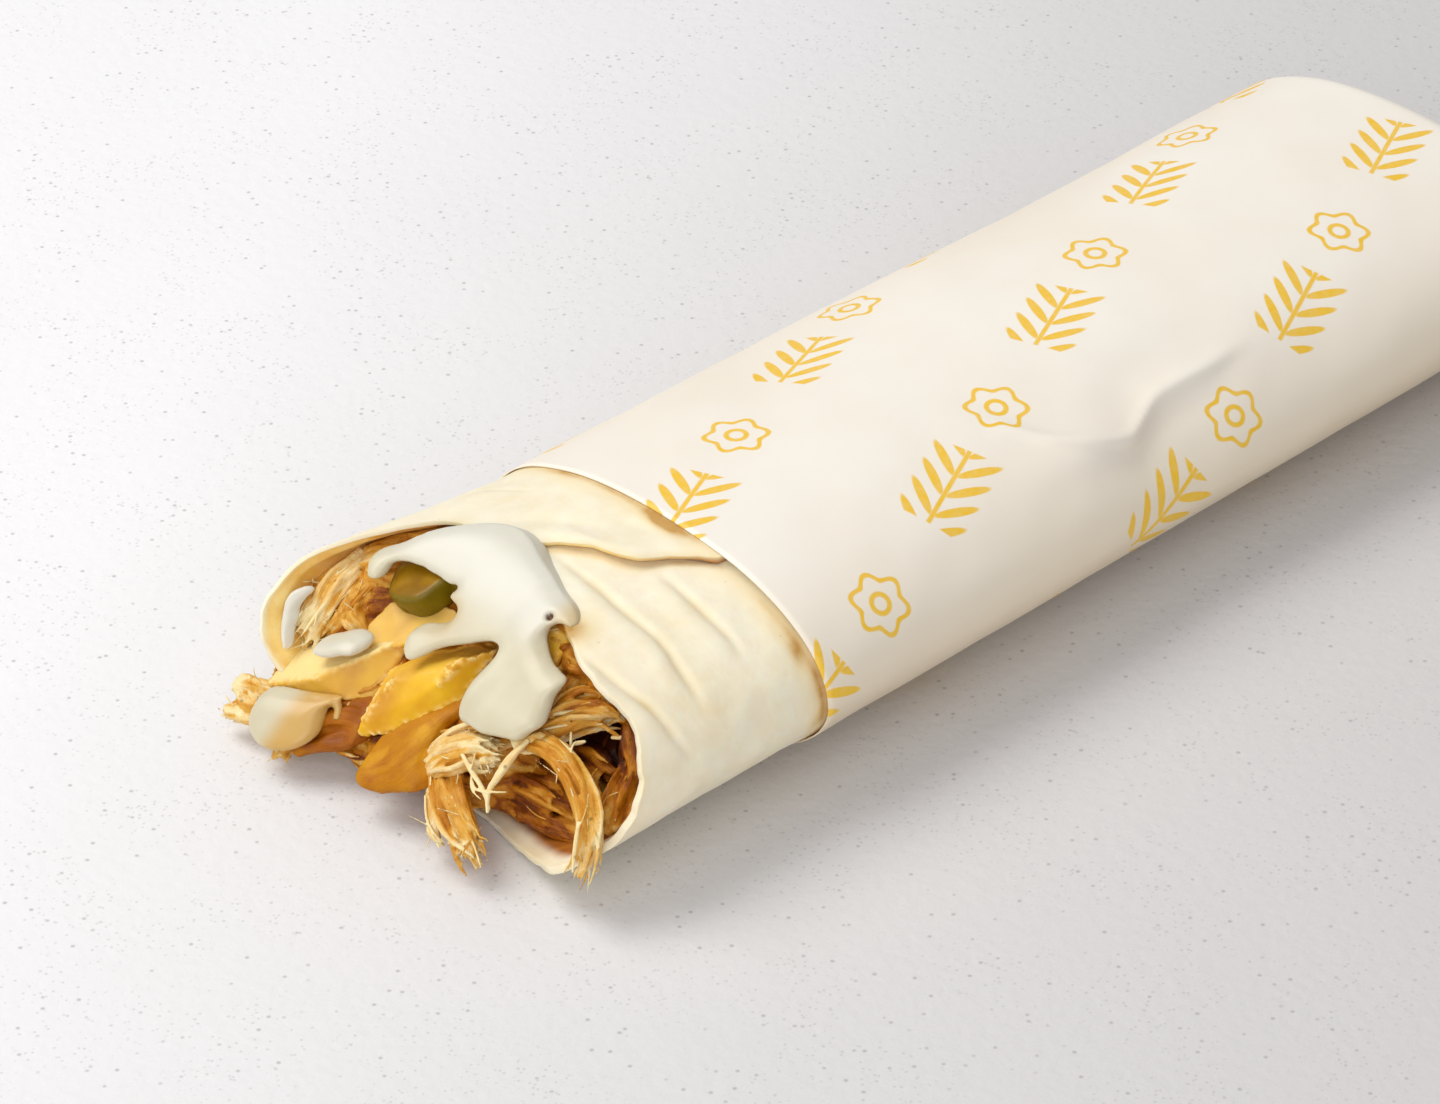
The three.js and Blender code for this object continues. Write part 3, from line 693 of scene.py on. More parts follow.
def pleat(x, degrees):
    """How far the bread is pressed in by its pleats, and how much painted shade and stain darken them."""
    depth = 0 * x
    stain = 0 * x
    for first, last, start, end, deep in PLEATS:
        t = (degrees % 360 - first) / (last - first)
        along = smooth(-0.1, 0.25, t) * smooth(1.12, 0.72, t)
        line = mix(start, end, t) + 0.5 * ripple(degrees / 9, start)
        away = x - line  # towards the sleeve where it is more than 0
        valley = bell((away - 0.4) / PLEAT_WIDE) + 0.35 * bell((away - 3.4) / 3.2)
        ridge = 0.45 * bell((away + 2.2) / 1.8)
        depth = depth + deep * along * (valley - ridge)
        patchy = 0.65 + 0.55 * ripple(degrees / 5, start)
        # Painted shade, with some stain, in each pleat's groove.
        stain = stain + 1.9 * deep * along * bell((away - 0.3) / 0.9) * patchy
    return depth, stain


def rolled_bread():
    piece, across, along = grid_sheet("flatbread_sheet", BREAD_COLUMNS, BREAD_ROWS)
    turn = mix(-TUCKED, 1, across)
    share = (along - HIDDEN_ROWS) / (1 - HIDDEN_ROWS)  # below 0 deep in the sleeve, 1 at the rim
    shown = np.clip(share, 0, 1)
    degrees = SEAM(shown) + 360 * turn
    hidden = np.clip(-share / (HIDDEN_ROWS / (1 - HIDDEN_ROWS)), 0, 1)
    rim = RIM(level(degrees))
    ragged = 0.25 * ripple(degrees / 5, 0) + 0.15 * ripple(degrees / 2.1, 4)
    held_back = 1 - 0.45 * smooth(0, -0.04, turn)
    x = np.where(share > 0, shown * (rim + ragged) * held_back, BREAD_END * hidden ** 1.5)
    out = smooth(2, -4, x)
    edge = 1 - turn  # how far from the free edge, in turns
    curl = smooth(0.022, 0, edge) * out
    lift = (0.1 + 0.35 * ripple(x / 3.1, 2)) * curl - 0.35 * bell((edge - 0.035) / 0.012) * out
    depth, stain = pleat(x, degrees)
    pressed = out * depth * np.where(turn < -0.01, 0, 1)
    inset = BREAD_INSET + OVERLAP_STEP * smooth(0.3, 0, turn) + pressed - lift
    inset = inset + 0.12 * out * ripple(x / 5, degrees / 11)
    inset = inset + 0.08 * out * ripple(x / 2.3, degrees / 6, 2)
    inset = inset - 0.25 * smooth(0.94, 1.0, shown) * out * ripple(degrees / 8, 5)
    inset = inset - HUG * bell((x - 2) / 4) * np.where(turn < 0, 0, 1)
    move_to(piece, roll_point(x, degrees, inset))

    # Where it is toasted, and where shade is painted in the same ochre: painted shade with some stain by
    # the paper's edge, along the free edge and under it, and along the pleats; toast at the rim; and two
    # larger patches, of which the one at the paper's edge is partly painted shade.
    whole_turn = degrees % 360
    top_band = smooth(34, 60, whole_turn) * smooth(112, 96, whole_turn)
    low_band = smooth(118, 150, whole_turn) * smooth(250, 215, whole_turn)
    blotchy = 0.6 + 0.5 * ripple(degrees / 6, x / 1.5)
    paper_edge = bell((x + 0.6) / 2.2) * (0.25 + 0.3 * top_band * blotchy + 0.6 * low_band * blotchy)
    paper_edge = paper_edge + 0.34 * bell((x + 0.2) / 0.6) * (0.3 + 0.7 * top_band + 0.5 * low_band)
    flap_edge = 0.35 * bell(edge / 0.0035)
    flap_edge = flap_edge + 0.16 * bell(edge / 0.02) * (0.4 + 0.6 * ripple(x / 5, 1) ** 2)
    under_flap = 0.85 * bell((turn - 0.002) / 0.0045) * (0.6 + 0.4 * ripple(x / 4, 3))
    under_flap = under_flap * smooth(-0.02, 0.0, turn)
    rim_toast = 0.35 * smooth(0.94, 1, shown) * (0.5 + 0.5 * ripple(degrees / 12, 3))
    patch = 0.9 * bell((x + 26) / 3.3) * bell((degrees - 105.5) / 6.5)
    amber = 0.8 * bell((x + 0.9) / 1.1) * bell((whole_turn - 93.5) / 5)
    toast = out * (0.42 * stain + flap_edge + under_flap + rim_toast + patch) + paper_edge + amber
    paint(piece, "toast", np.clip(toast, 0, 1))
    paint(piece, "depth_in", -x + rim)
    paint(piece, "flap", smooth(0.012, 0, edge) * out)
    paint(piece, "juicy", smooth(0.05, -0.4, np.cos(np.radians(degrees))))
    return piece


bread = rolled_bread()
face_out(bread)
outer_count = len(bread.data.vertices)
apply_modifier(bread, "SOLIDIFY", thickness=BREAD_THICK, offset=-1)
depth_in, juicy, flap = [painted(bread, name) for name in ("depth_in", "juicy", "flap")]
skin = places_of(bread)
outer, inner = skin[:outer_count], skin[outer_count:]
# The bread thins towards its rim, and along its free edge, where both faces give way.
thinned = smooth(-3.5, 0, depth_in[outer_count:]) * mix(0.62, 0.3, juicy[outer_count:])
flap = flap[outer_count:]
thinned = np.maximum(thinned, 0.55 * flap)
outer = mix(outer, inner, 0.22 * flap[:, None])
inner = mix(inner, outer, thinned[:, None])
move_to(bread, np.concatenate([outer, inner]))
is_inner = np.arange(len(skin)) >= outer_count
paint(bread, "soaked", is_inner * smooth(mix(0, -1.4, juicy), mix(-1, -3.8, juicy), depth_in))
apply_modifier(bread, "BEVEL", width=0.45, segments=3, limit_method="ANGLE", angle_limit=math.radians(55))
outward(bread)
hand_over(bread, bread_material, "flatbread", "flatbread")

# %% [markdown]
# The filling shows in the open end. Its face leans back from the floor, so every piece in it is given by
# its place in that leaning plane: how far across, how high, and how far out of the plane. Long soft
# pieces follow a route of such places, and flat ones have an outline of them.

# %% Places in the mouth, routes and outlines
MOUTH_FOOT = -52.3  # x where the plane of the mouth meets the floor
MOUTH_LEAN = 1.1  # how far that plane comes back for each millimetre up
OUT_ALONG = math.hypot(1, MOUTH_LEAN)  # mm along X for each mm out of that plane
TO_THE_EYE = np.array([-0.67, 0, 0.74])


def mouth(y, z, out):
    """A place in the mouth, or an array of them."""
    return np.stack([MOUTH_FOOT + MOUTH_LEAN * z - OUT_ALONG * out, y, z], axis=-1)


def in_mouth(route):
    """Turns [y, z, out, size] into points and sizes."""
    points = np.array([mouth(*place[:3]) for place in route])
    sizes = np.array([place[3] if len(place) > 3 else 1.0 for place in route])
    return points, sizes


def along(values, t):
    """Values from end to end of a route, or its points, read smoothly at the shares t."""
    values = np.asarray(values, float)
    places = np.linspace(0, 1, len(values))
    if values.ndim == 1:
        return through(np.stack([places, values], axis=-1))(t)
    return np.stack([along(axis, t) for axis in values.T], axis=-1)


def unit(vectors):
    return vectors / np.maximum(np.linalg.norm(vectors, axis=-1, keepdims=True), 1e-9)


def directions(points):
    """Along, across and up at each point of a route."""
    ahead = unit(np.gradient(points, axis=0))
    across = unit(np.cross(TO_THE_EYE, ahead))
    return ahead, across, np.cross(ahead, across)


def rounded(outline):
    """Cuts the corners of a closed outline until it is smooth."""
    line = np.array(outline, float)
    for _ in range(3):
        after = np.roll(line, -1, axis=0)
        line = np.stack([mix(line, after, 0.25), mix(line, after, 0.75)], axis=1).reshape(-1, 2)
    return line


def to_segments(points, starts, ends):
    """How far each point is from the nearest of some segments."""
    best = np.full(len(points), np.inf)
    for start, end in zip(starts, ends):
        run = end - start
        t = np.clip((points - start) @ run / max(run @ run, 1e-9), 0, 1)
        best = np.minimum(best, np.linalg.norm(points - start - t[:, None] * run, axis=1))
    return best


def inside_outline(line, points):
    """How far inside a closed outline each point is, and below 0 outside it."""
    after = np.roll(line, -1, axis=0)
    crossed = np.zeros(len(points), bool)
    for (y1, z1), (y2, z2) in zip(line, after):
        if z1 != z2:
            spans = (z1 > points[:, 1]) != (z2 > points[:, 1])
            crossed ^= spans & (points[:, 0] < y1 + (points[:, 1] - z1) * (y2 - y1) / (z2 - z1))
    away = to_segments(points, line, after)
    return np.where(crossed, away, -away)


print("the mouth at the floor and 30 mm up:", mouth(np.zeros(2), np.array([0, 30]), 0)[:, 0].round(1))

# %% [markdown]
# Shredded chicken is muscle pulled apart along its fibres. One fibre is modelled as by hand: a circle is
# filled and extruded step by step into a thin closed rod. Every other fibre is a copy of that rod, bent
# along its own route. A piece of chicken is a bundle of such copies, grown into one skin by a voxel
# remesh, which leaves the grooves between fibres open, as in the real thing. A particle system could
# scatter them too, but its copies would stay separate, and they could not be melted together.

# %% One fibre, modelled once
FIBRE_SIDES = 7
FIBRE_STEPS = 9


def one_fibre():
    """A rod of radius 1 along Z, from 0 to 1."""
    bpy.ops.object.select_all(action="DESELECT")
    bpy.ops.mesh.primitive_circle_add(vertices=FIBRE_SIDES, radius=1, fill_type="NGON")
    rod = bpy.context.object
    bpy.ops.object.mode_set(mode="EDIT")
    bpy.ops.mesh.select_all(action="SELECT")
    for _ in range(FIBRE_STEPS):
        bpy.ops.mesh.extrude_region_move(TRANSFORM_OT_translate={"value": (0, 0, 1 / FIBRE_STEPS)})
    bpy.ops.object.mode_set(mode="OBJECT")
    outward(rod)
    return rod


rod = one_fibre()
rod_points = places_of(rod)
rod_rings = np.rint(rod_points[:, 2] * FIBRE_STEPS).astype(int)
rod_faces = [tuple(face.vertices) for face in rod.data.polygons]
bpy.data.objects.remove(rod)
print("one fibre has", len(rod_points), "vertices and", len(rod_faces), "faces")


def swept(points, radii):
    """A copy of the rod bent along points, with a radius at each."""
    t = np.linspace(0, 1, FIBRE_STEPS + 1)
    middle = along(points, t)
    _, across, up = directions(middle)
    radius = along(radii, t)[rod_rings]
    sideways = across[rod_rings] * (rod_points[:, 0] * radius)[:, None]
    upwards = up[rod_rings] * (rod_points[:, 1] * radius)[:, None]
    return middle[rod_rings] + sideways + upwards


def copies_joined(name, copies):
    """One mesh object from many bent copies of the rod."""
    faces = []
    for i in range(len(copies)):
        faces += [tuple(v + i * len(rod_points) for v in face) for face in rod_faces]
    mesh = bpy.data.meshes.new(name)
    mesh.from_pydata(np.concatenate(copies).tolist(), [], faces)
    piece = bpy.data.objects.new(name, mesh)
    bpy.context.scene.collection.objects.link(piece)
    return piece


def join(piece, *others):
    """Joins other meshes into the first."""
    only(piece)
    for other in others:
        other.select_set(True)
    bpy.ops.object.join()


def melt(piece, voxel, relax):
    """Grows overlapping bodies into one closed skin, and relaxes its steps."""
    apply_modifier(piece, "REMESH", mode="VOXEL", voxel_size=voxel)
    apply_modifier(piece, "SMOOTH", factor=0.5, iterations=relax)


BACK_SHARE = 0.6  # a sheet swells less at its back
SLOPE_STEP = 0.02  # mm, over which the way to the outline is measured


def cut_sheet(name, outline, face_of, thick, edge, cell=0.55, sag=0.0):
    """A thick sheet with an outline of [y, z], swelling from its edge to its middle.

    A back that sags comes down onto the bread's rim behind the sheet's top.
    """
    line = rounded(outline)
    low, high = line.min(axis=0), line.max(axis=0)
    columns, rows = np.ceil((high - low) / cell).astype(int)
    piece, across, down = grid_sheet(name, columns, rows)
    flat = np.stack([mix(low[0], high[0], across), mix(low[1], high[1], down)], axis=-1)
    within = inside_outline(line, flat)
    kept = within > 0
    piece.data.vertices.foreach_set("select", ~kept)
    for items in (piece.data.edges, piece.data.polygons):
        items.foreach_set("select", np.zeros(len(items), bool))
    only(piece)
    bpy.ops.object.mode_set(mode="EDIT")
    bpy.ops.mesh.select_mode(type="VERT")
    bpy.ops.mesh.delete(type="VERT")
    bpy.ops.object.mode_set(mode="OBJECT")
    apply_modifier(piece, "SOLIDIFY", thickness=0.5, offset=0)
    flat, within = flat[kept], within[kept]
    near = within < cell  # these go onto the outline, so that no stairs are left along it
    steps = np.eye(2) * SLOPE_STEP
    rise = [inside_outline(line, flat[near] + step) - within[near] for step in steps]
    flat[near] -= np.stack(rise, axis=-1) / SLOPE_STEP * within[near][:, None]
    within[near] = 0
    swell = np.sqrt(1 - (1 - np.clip(within / edge, 0, 1)) ** 2)
    half = thick / 2 * (0.25 + 0.75 * swell)
    out = face_of(flat[:, 0], flat[:, 1])
    front = mouth(flat[:, 0], flat[:, 1], out + half)
    rear = mouth(flat[:, 0], flat[:, 1], out - BACK_SHARE * half)
    rear += np.outer(sag * smooth(29, 32.5, flat[:, 1]), (0.9, 0, -1))
    move_to(piece, np.concatenate([front, rear]))
    outward(piece)
    return piece

# %% [markdown]
# Meat tears into bundles. In a bundle the fibres lie side by side along one route, wander a little, and
# end at different places. The bundles of a piece are melted together, and then painted with the tone
# and the run of the nearest fibres, so that the grain in the material follows the shape.

# %% Bundles of fibres
TAPER = [0.45, 0.85, 1, 1, 1, 0.85, 0.35]  # a fibre's thickness from its root to its torn tip
STATIONS = len(TAPER)
READINGS = np.linspace(0, 1, 41)  # where a fibre's tone is read along it
READ_TOGETHER = 5  # the nearest readings, which are blended
READ_SOFTLY = 0.12  # mm: with more, they blend more evenly


class Fibre:
    """One fibre: its points and radii, its tone from 0 to 1, and the bundle's middle line beside it."""

    def __init__(self, points, radii, tone, middle=None, start=0.0):
        self.points = points
        self.radii = radii
        self.tone = float(np.clip(tone, 0, 1))
        self.middle = points if middle is None else middle
        self.start = start  # how far along the bundle it starts, in mm, so that the grain runs on


def length_of(points):
    return np.linalg.norm(np.diff(points, axis=0), axis=1).sum()


def bundle(route, width, thick, count, rng, radius, tone, spread, fray, wander=0.14, reach=(0.82, 1)):
    """Fibres side by side along one route of points and sizes.

    Their tones spread round one tone, their tips fray apart and they wander, all in mm or shares, and
    reach is where along the route they end.
    """
    points, sizes = route
    pattern = rng.uniform(0, 90)
    whole = length_of(points)
    fibres = []
    for _ in range(count):
        t = np.linspace(rng.uniform(0, 0.12), rng.uniform(*reach), STATIONS)
        middle = along(points, t)
        size = along(sizes, t)
        _, across, up = directions(middle)
        out = math.sqrt(rng.uniform(0, 1))
        turn = rng.uniform(0, 2 * math.pi) + rng.uniform(-1.0, 1.0) * (t - 0.5)
        place = middle + across * (np.cos(turn) * out * size * max(width / 2 - radius, 0))[:, None]
        place = place + up * (np.sin(turn) * out * size * max(thick / 2 - radius, 0))[:, None]
        place = place + fray * smooth(0.6, 1, t)[:, None] * rng.normal(0, 0.6, 3)
        for drift, bends in ((1.6, 3), (0.8, 5)):
            place = place + along(rng.normal(0, drift * wander, (bends, 3)), np.linspace(0, 1, STATIONS))
        thickness = radius * rng.uniform(0.6, 1.35) * np.array(TAPER) * (0.6 + 0.4 * size)
        fibres.append(Fibre(place, thickness, rng.normal(tone, spread), middle, pattern + t[0] * whole))
    return fibres


def strays(fibres, count, rng):
    """Fine threads that have come off some of these fibres, and curl away from them."""
    found = []
    for pick in rng.integers(0, len(fibres), count):
        fibre = fibres[pick]
        at = rng.uniform(0.25, 0.98)
        start, ahead = along(fibre.points, np.array([at, min(at + 0.02, 1)]))
        heading = unit(ahead - start) * rng.choice([-1, 1])
        heading = unit(heading + rng.normal(0, 0.45, 3) + 0.35 * TO_THE_EYE)
        length = rng.uniform(0.9, 4.2)
        curl = rng.normal(0, 0.09, 3)
        t = np.linspace(0, 1, 4)[:, None] * length
        points = start + heading * t + curl * t * t * 0.6
        radii = rng.uniform(0.13, 0.2) * np.array([1.1, 1, 0.9, 0.6])
        found.append(Fibre(points, radii, min(1, max(fibre.tone + 0.25, 0.6))))
    return found


def paint_fibres(piece, fibres, bare):
    """Colours a melted piece by its nearest fibres, and lays a grain along them."""
    tree = kdtree.KDTree(len(fibres) * len(READINGS))
    notes, guides = [], []
    for fibre in fibres:
        middle = along(fibre.middle, READINGS)
        ahead, across, up = directions(middle)
        run = fibre.start + READINGS * length_of(fibre.middle)
        for i, place in enumerate(along(fibre.points, READINGS)):
            tree.insert(place, len(notes))
            notes.append((fibre.tone, READINGS[i], fibre.radii.max(), run[i]))
            guides.append((middle[i], ahead[i], across[i], up[i]))
    tree.balance()
    spots = places_of(piece)
    found = [tree.find_n(spot, READ_TOGETHER) for spot in spots]
    near = np.array([[i for _, i, _ in few] for few in found])
    gaps = np.array([[distance for _, _, distance in few] for few in found])
    pull = 1 / (gaps - gaps[:, :1] + READ_SOFTLY)
    tone = (np.array(notes)[near, 0] * pull).sum(axis=1) / pull.sum(axis=1)
    share, radius, run = np.array(notes)[near[:, 0], 1:].T
    guide = np.array(guides)[near[:, 0]]
    offset = spots - guide[:, 0]
    grain = [(offset * guide[:, axis]).sum(axis=1) for axis in (1, 2, 3)]
    # Tips are paler, and what lies deep in the mouth is painted darker, as shade in the hollow.
    x, y, z = spots.T
    covered = smooth(3.4 * radius, 1.7 * radius, gaps[:, 0])
    sunk = smooth(-2.5, -8, (MOUTH_FOOT + MOUTH_LEAN * z - x) / OUT_ALONG)
    pale_end = 0.28 * smooth(0.6, 1, share) + 0.1 * smooth(0.2, 0, share)
    deep = sunk * (0.1 + 0.62 * smooth(-8, -16, y) * smooth(8, 14, z))
    # Painted light: the bare surface is paler towards +Y and near the top of the mouth.
    bare = bare + 0.14 * smooth(6, 18, y) + 0.3 * smooth(23, 29, z) * smooth(-2, 8, y)
    paint(piece, "tone", mix(bare, tone + pale_end, covered) - deep)
    paint(piece, "grain_along", grain[0] + run)
    paint(piece, "grain_across", grain[1])
    paint(piece, "grain_up", grain[2])


def meat(name, fibres, voxel, relax, bare, *extra):
    """Melts fibres, and extra closed bodies if any, into one piece, and colours it."""
    piece = copies_joined(name, [swept(fibre.points, fibre.radii) for fibre in fibres])
    if extra:
        join(piece, *extra)
    melt(piece, voxel, relax)
    paint_fibres(piece, fibres, bare)
    outward(piece)
    return piece

# %% [markdown]
# Cooked chicken is pale where it is dry and tan to brown where its juice and spices soaked in. It is
# wet, so it glints, and light goes a little way into it. Its colour follows the tone of each fibre, with
# fine streaks that run along the fibres and a few specks of pepper. Deep in the mouth the tone is
# painted darker, as shade, and on the upper walls paler, as painted light.

# %% Roast chicken
GRAIN_LONG = 0.3  # streaks for each mm along the fibres
GRAIN_FINE = 4.2  # and for each mm across them


def chicken_material(name, stops, streaky, wet):
    material, add = new_material(name)
    here = add("TexCoord", **PLACE)
    tone = add("Attribute", **VALUE, attribute_name="tone")
    grain = []
    for way, scale in (("along", GRAIN_LONG), ("across", GRAIN_FINE), ("up", GRAIN_FINE)):
        place = add("Attribute", **VALUE, attribute_name="grain_" + way)
        grain.append(add("Math MULTIPLY", place, scale))
    grain = add("CombineXYZ", *grain)
    streaks = add("TexNoise", {"Vector": grain, "Scale": 1.0, "Detail": 2.5, "Roughness": 0.6})
    cloud = add("TexNoise", {"Vector": here, "Scale": 300, "Detail": 3})
    fine = add("TexNoise", {"Vector": here, "Scale": 1700, "Detail": 2})
    varied = add("Math MULTIPLY_ADD", add("Math SUBTRACT", streaks, 0.5), streaky, tone)
    varied = add("Math MULTIPLY_ADD", add("Math SUBTRACT", cloud, 0.5), 0.45, varied)
    flesh = add("ValToRGB", varied, stops=stops)
    pepper = add("TexVoronoi", {"Vector": here, "Scale": 330, "Randomness": 1.0})
    speck = add("Math MULTIPLY", add("MapRange", pepper, 0.05, 0.13, 1.0, 0.0), 0.55)
    flesh = add("Mix", {0: speck, 6: flesh, 7: colour("#3A1A06")}, **BLEND)
    bump = add("Bump", {"Height": fine, "Strength": 0.3, "Distance": 0.0002})
    bump = add("Bump", {"Height": cloud, "Strength": 0.35, "Distance": 0.0005, "Normal": bump})
    bump = add("Bump", {"Height": streaks, "Strength": 0.8 * streaky, "Distance": 0.0006, "Normal": bump})
    surface = add("BsdfPrincipled", {
        "Base Color": flesh,
        "Roughness": 0.5,
        "Specular IOR Level": 0.2,
        "Subsurface Weight": 0.12,
        "Subsurface Radius": (1.0, 0.5, 0.15),
        "Subsurface Scale": 0.001,
        "Coat Weight": wet,
        "Coat Roughness": 0.25,
        "Normal": bump,
    })
    add("OutputMaterial", {"Surface": surface})
    return material


chicken_flesh = chicken_material("roast_chicken", [
    [0.0, "#3A1200"], [0.22, "#864200"], [0.46, "#C07A14"], [0.72, "#DEA948"], [1.0, "#F2DEA8"],
], 0.46, 0.05)
chicken_juicy = chicken_material("roast_chicken_juicy", [
    [0.0, "#7E3C00"], [0.3, "#A25A00"], [0.6, "#BC7A04"], [1.0, "#D89E1C"],
], 0.3, 0.06)
print("chicken nodes:", len(chicken_flesh.node_tree.nodes))

# %% [markdown]
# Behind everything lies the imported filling. Its face is a closed body of rings, sunk towards the -Y side
# where the roll gapes, and covered with shreds that cling to it. They are scattered by a seeded draw, so
# that every run gives the same heap. The rest of the filling, deep in the roll, is never seen and stays a
# plain body.

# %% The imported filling's face and its shreds
CORE_INSET = 0.25
FACE_DEPTH = 5
HOLLOW = 8.5
CLUMPS = 96
UNEVEN = (0.7, 1)  # the shares of a route at which the fibres of a torn end stop
BARE_LOW = 5.5  # nothing clings lower than this under the soft pieces
OUT_STEP = 1.49  # OUT_ALONG, rounded
CAP_BEHIND = OUT_STEP * HOLLOW + FACE_DEPTH  # from the filling's face back along X to its cap
# Shreds that can be told apart: their route as [y, z, out, size], width, fibres and tone.
SHREDS = [
    ([
        [25, 8.2, -1, 0.9], [31, 7.6, 1.4, 1], [36, 7.1, 2.1, 1], [38.0, 7.0, 2.5, 0.7],
        [39.3, 7.1, 2.8, 0.25],
    ], 3.4, 22, 0.78),
    ([
        [24, 6.2, -0.5, 0.9], [30, 5.2, 1.4, 1], [34.5, 4.6, 2.0, 1], [37.2, 4.0, 2.3, 0.7],
        [38.9, 3.4, 2.2, 0.25],
    ], 3.2, 20, 0.74),
    ([[26, 7, 0, 0.8], [32, 6.4, 1.6, 1], [38, 5.5, 2.0, 0.3]], 2.4, 12, 0.68),
    ([[28, 4.6, -5, 0.8], [26.8, 2.6, 0, 1], [26.5, 1.3, 1, 0.4]], 2.8, 9, 0.6),
    ([[36.6, 10, -6, 0.8], [37.4, 8.6, -2, 1], [36.6, 6.6, -1, 0.6]], 3.0, 9, 0.6),
    ([
        [-19.1, 18.6, -6, 0.8], [-22.7, 17.6, -4.4, 1], [-25.3, 15.6, -4.4, 1], [-26.2, 13, -5, 0.7],
    ], 4.6, 18, 0.3),
    ([
        [-23, 15.8, -7, 0.8], [-26.4, 13.8, -3.6, 1], [-28.3, 12.0, -2.4, 1.1], [-29.2, 9.6, -2.2, 0.8],
    ], 4.6, 18, 0.34),
    ([[-26.6, 14.6, -6, 0.8], [-29.2, 12.4, -3.6, 1], [-30.2, 10.4, -2.6, 0.7]], 3.6, 12, 0.4),
    ([
        [-4.2, 7.4, -5, 0.8], [-10.2, 8.6, -4.2, 1], [-16.2, 9.2, -4.2, 1.1], [-22.5, 9.4, -4.4, 0.8],
    ], 5.0, 26, 0.2),
    ([
        [-8, 10.4, -6, 0.8], [-14.5, 11.4, -5, 1], [-19.4, 11.2, -4.6, 1.1], [-25.2, 10.2, -4.4, 0.8],
    ], 5.0, 26, 0.18),
    ([
        [-10, 5.4, -6.0, 0.8], [-15.5, 5.4, -6.0, 1], [-20.8, 5.8, -6, 1], [-26.6, 6.6, -5.4, 0.8],
    ], 3.8, 18, 0.34),
    ([[-12, 12.6, -6, 0.8], [-17.5, 13.6, -5.4, 1], [-22.8, 13.0, -5.6, 1]], 4.0, 18, 0.3),
    ([
        [-11.6, 17.7, 4.4, 0.6], [-12.3, 18.0, 3.4, 0.9], [-14.4, 17.9, 2.4, 1], [-17.4, 18.2, 2.4, 0.9],
        [-20.8, 18.4, 2.6, 0.8],
    ], 2.0, 9, 0.85),
    ([
        [-9.8, 17.4, -1.0, 0.7], [-10.2, 19.9, -1.0, 1], [-10.8, 22.2, -1.6, 1], [-11.2, 23.6, -3.0, 0.6],
    ], 4.4, 16, 0.55),
    ([
        [-11.6, 15.8, -2, 0.7], [-14.6, 17.6, -2, 1], [-17.6, 18.9, -3, 1], [-20.4, 19.2, -4.6, 0.7],
    ], 3.0, 12, 0.6),
    ([
        [-0.1, 7.7, 0.4, 1], [-2.6, 6.9, 1.4, 1], [-5.2, 5.6, 1.8, 1], [-7.4, 4.4, 1.8, 0.9],
        [-10.1, 4.4, 1.4, 0.7],
    ], 1.7, 8, 0.72),
    ([[3, 13.4, -4, 0.8], [0, 11.6, -0.6, 1], [-3, 9.8, 0.6, 1.1], [-6, 7.6, 0.4, 0.8]], 5.6, 22, 0.42),
    ([[26, 12, -7, 0.8], [29.6, 8, -1.8, 1], [31.6, 5.6, -1.6, 0.7]], 4.2, 12, 0.4),
    ([[34.6, 13.8, -6, 0.8], [35.4, 11.4, -2.6, 1], [34, 8.8, -1.8, 0.7]], 3.4, 11, 0.62),
    ([[18, 24, -6, 0.8], [23, 22.4, -1.6, 1], [26, 20, -3, 0.8]], 3.4, 12, 0.4),
    ([[-9, 24, -8, 0.8], [-12.4, 22.4, -1.6, 1], [-15.6, 22, -4, 0.6]], 3.6, 13, 0.55),
]


def round_at(x, degrees):
    """How far round the bread a place is, from 0 at the seam to 1 back at it."""
    share = np.clip(x / RIM(level(degrees)), 0, 1)
    return ((degrees - SEAM(share)) / 360) % 1


def inside(x, degrees, gap=CORE_INSET):
    """A point on the bread's inner face, so far inside it."""
    turn = round_at(x, degrees)
    tucked = smooth(0.7, 0.95, turn) * smooth(0.62, 0.5, x / RIM(level(degrees)))
    doubled = np.maximum(smooth(0.35, 0, turn), tucked)
    pressed = smooth(2, -4, x) * pleat(x, degrees)[0]
    wall = BREAD_INSET + 0.1 + BREAD_THICK + OVERLAP_STEP * doubled
    return roll_point(x, degrees, wall + pressed + gap)


def filling_face(y, z):
    """X of the filling's uneven face."""
    hollow = smooth(-5, -15, y) * smooth(26, 19, z) * smooth(-6, 9, z)
    shelf = -1.5 * smooth(12, 5, z) - 2.2 * smooth(7, 2, z) * smooth(6, -3, y)
    bumps = 0.9 * ripple(0, y / 3.4, z / 3.4)
    return MOUTH_FOOT + MOUTH_LEAN * z - OUT_ALONG * (0.4 - HOLLOW * hollow + shelf + bumps)


def face_edge(degrees):
    """X where the filling's face meets the bread."""
    near = inside(0.8 * RIM(level(degrees)), degrees)
    rim = 0.94 * RIM(level(degrees))
    return np.minimum(-5, np.maximum(filling_face(near[:, 1], near[:, 2]), rim))


def closed_tube(name, columns, rows, shape):
    """A grid primitive rolled round until its sides meet, with both ends drawn in to a point."""
    piece, around, down = grid_sheet(name, columns, rows)
    move_to(piece, shape(around * 360, down))
    edit(piece, bpy.ops.mesh.remove_doubles, threshold=0.001)
    outward(piece)
    return piece


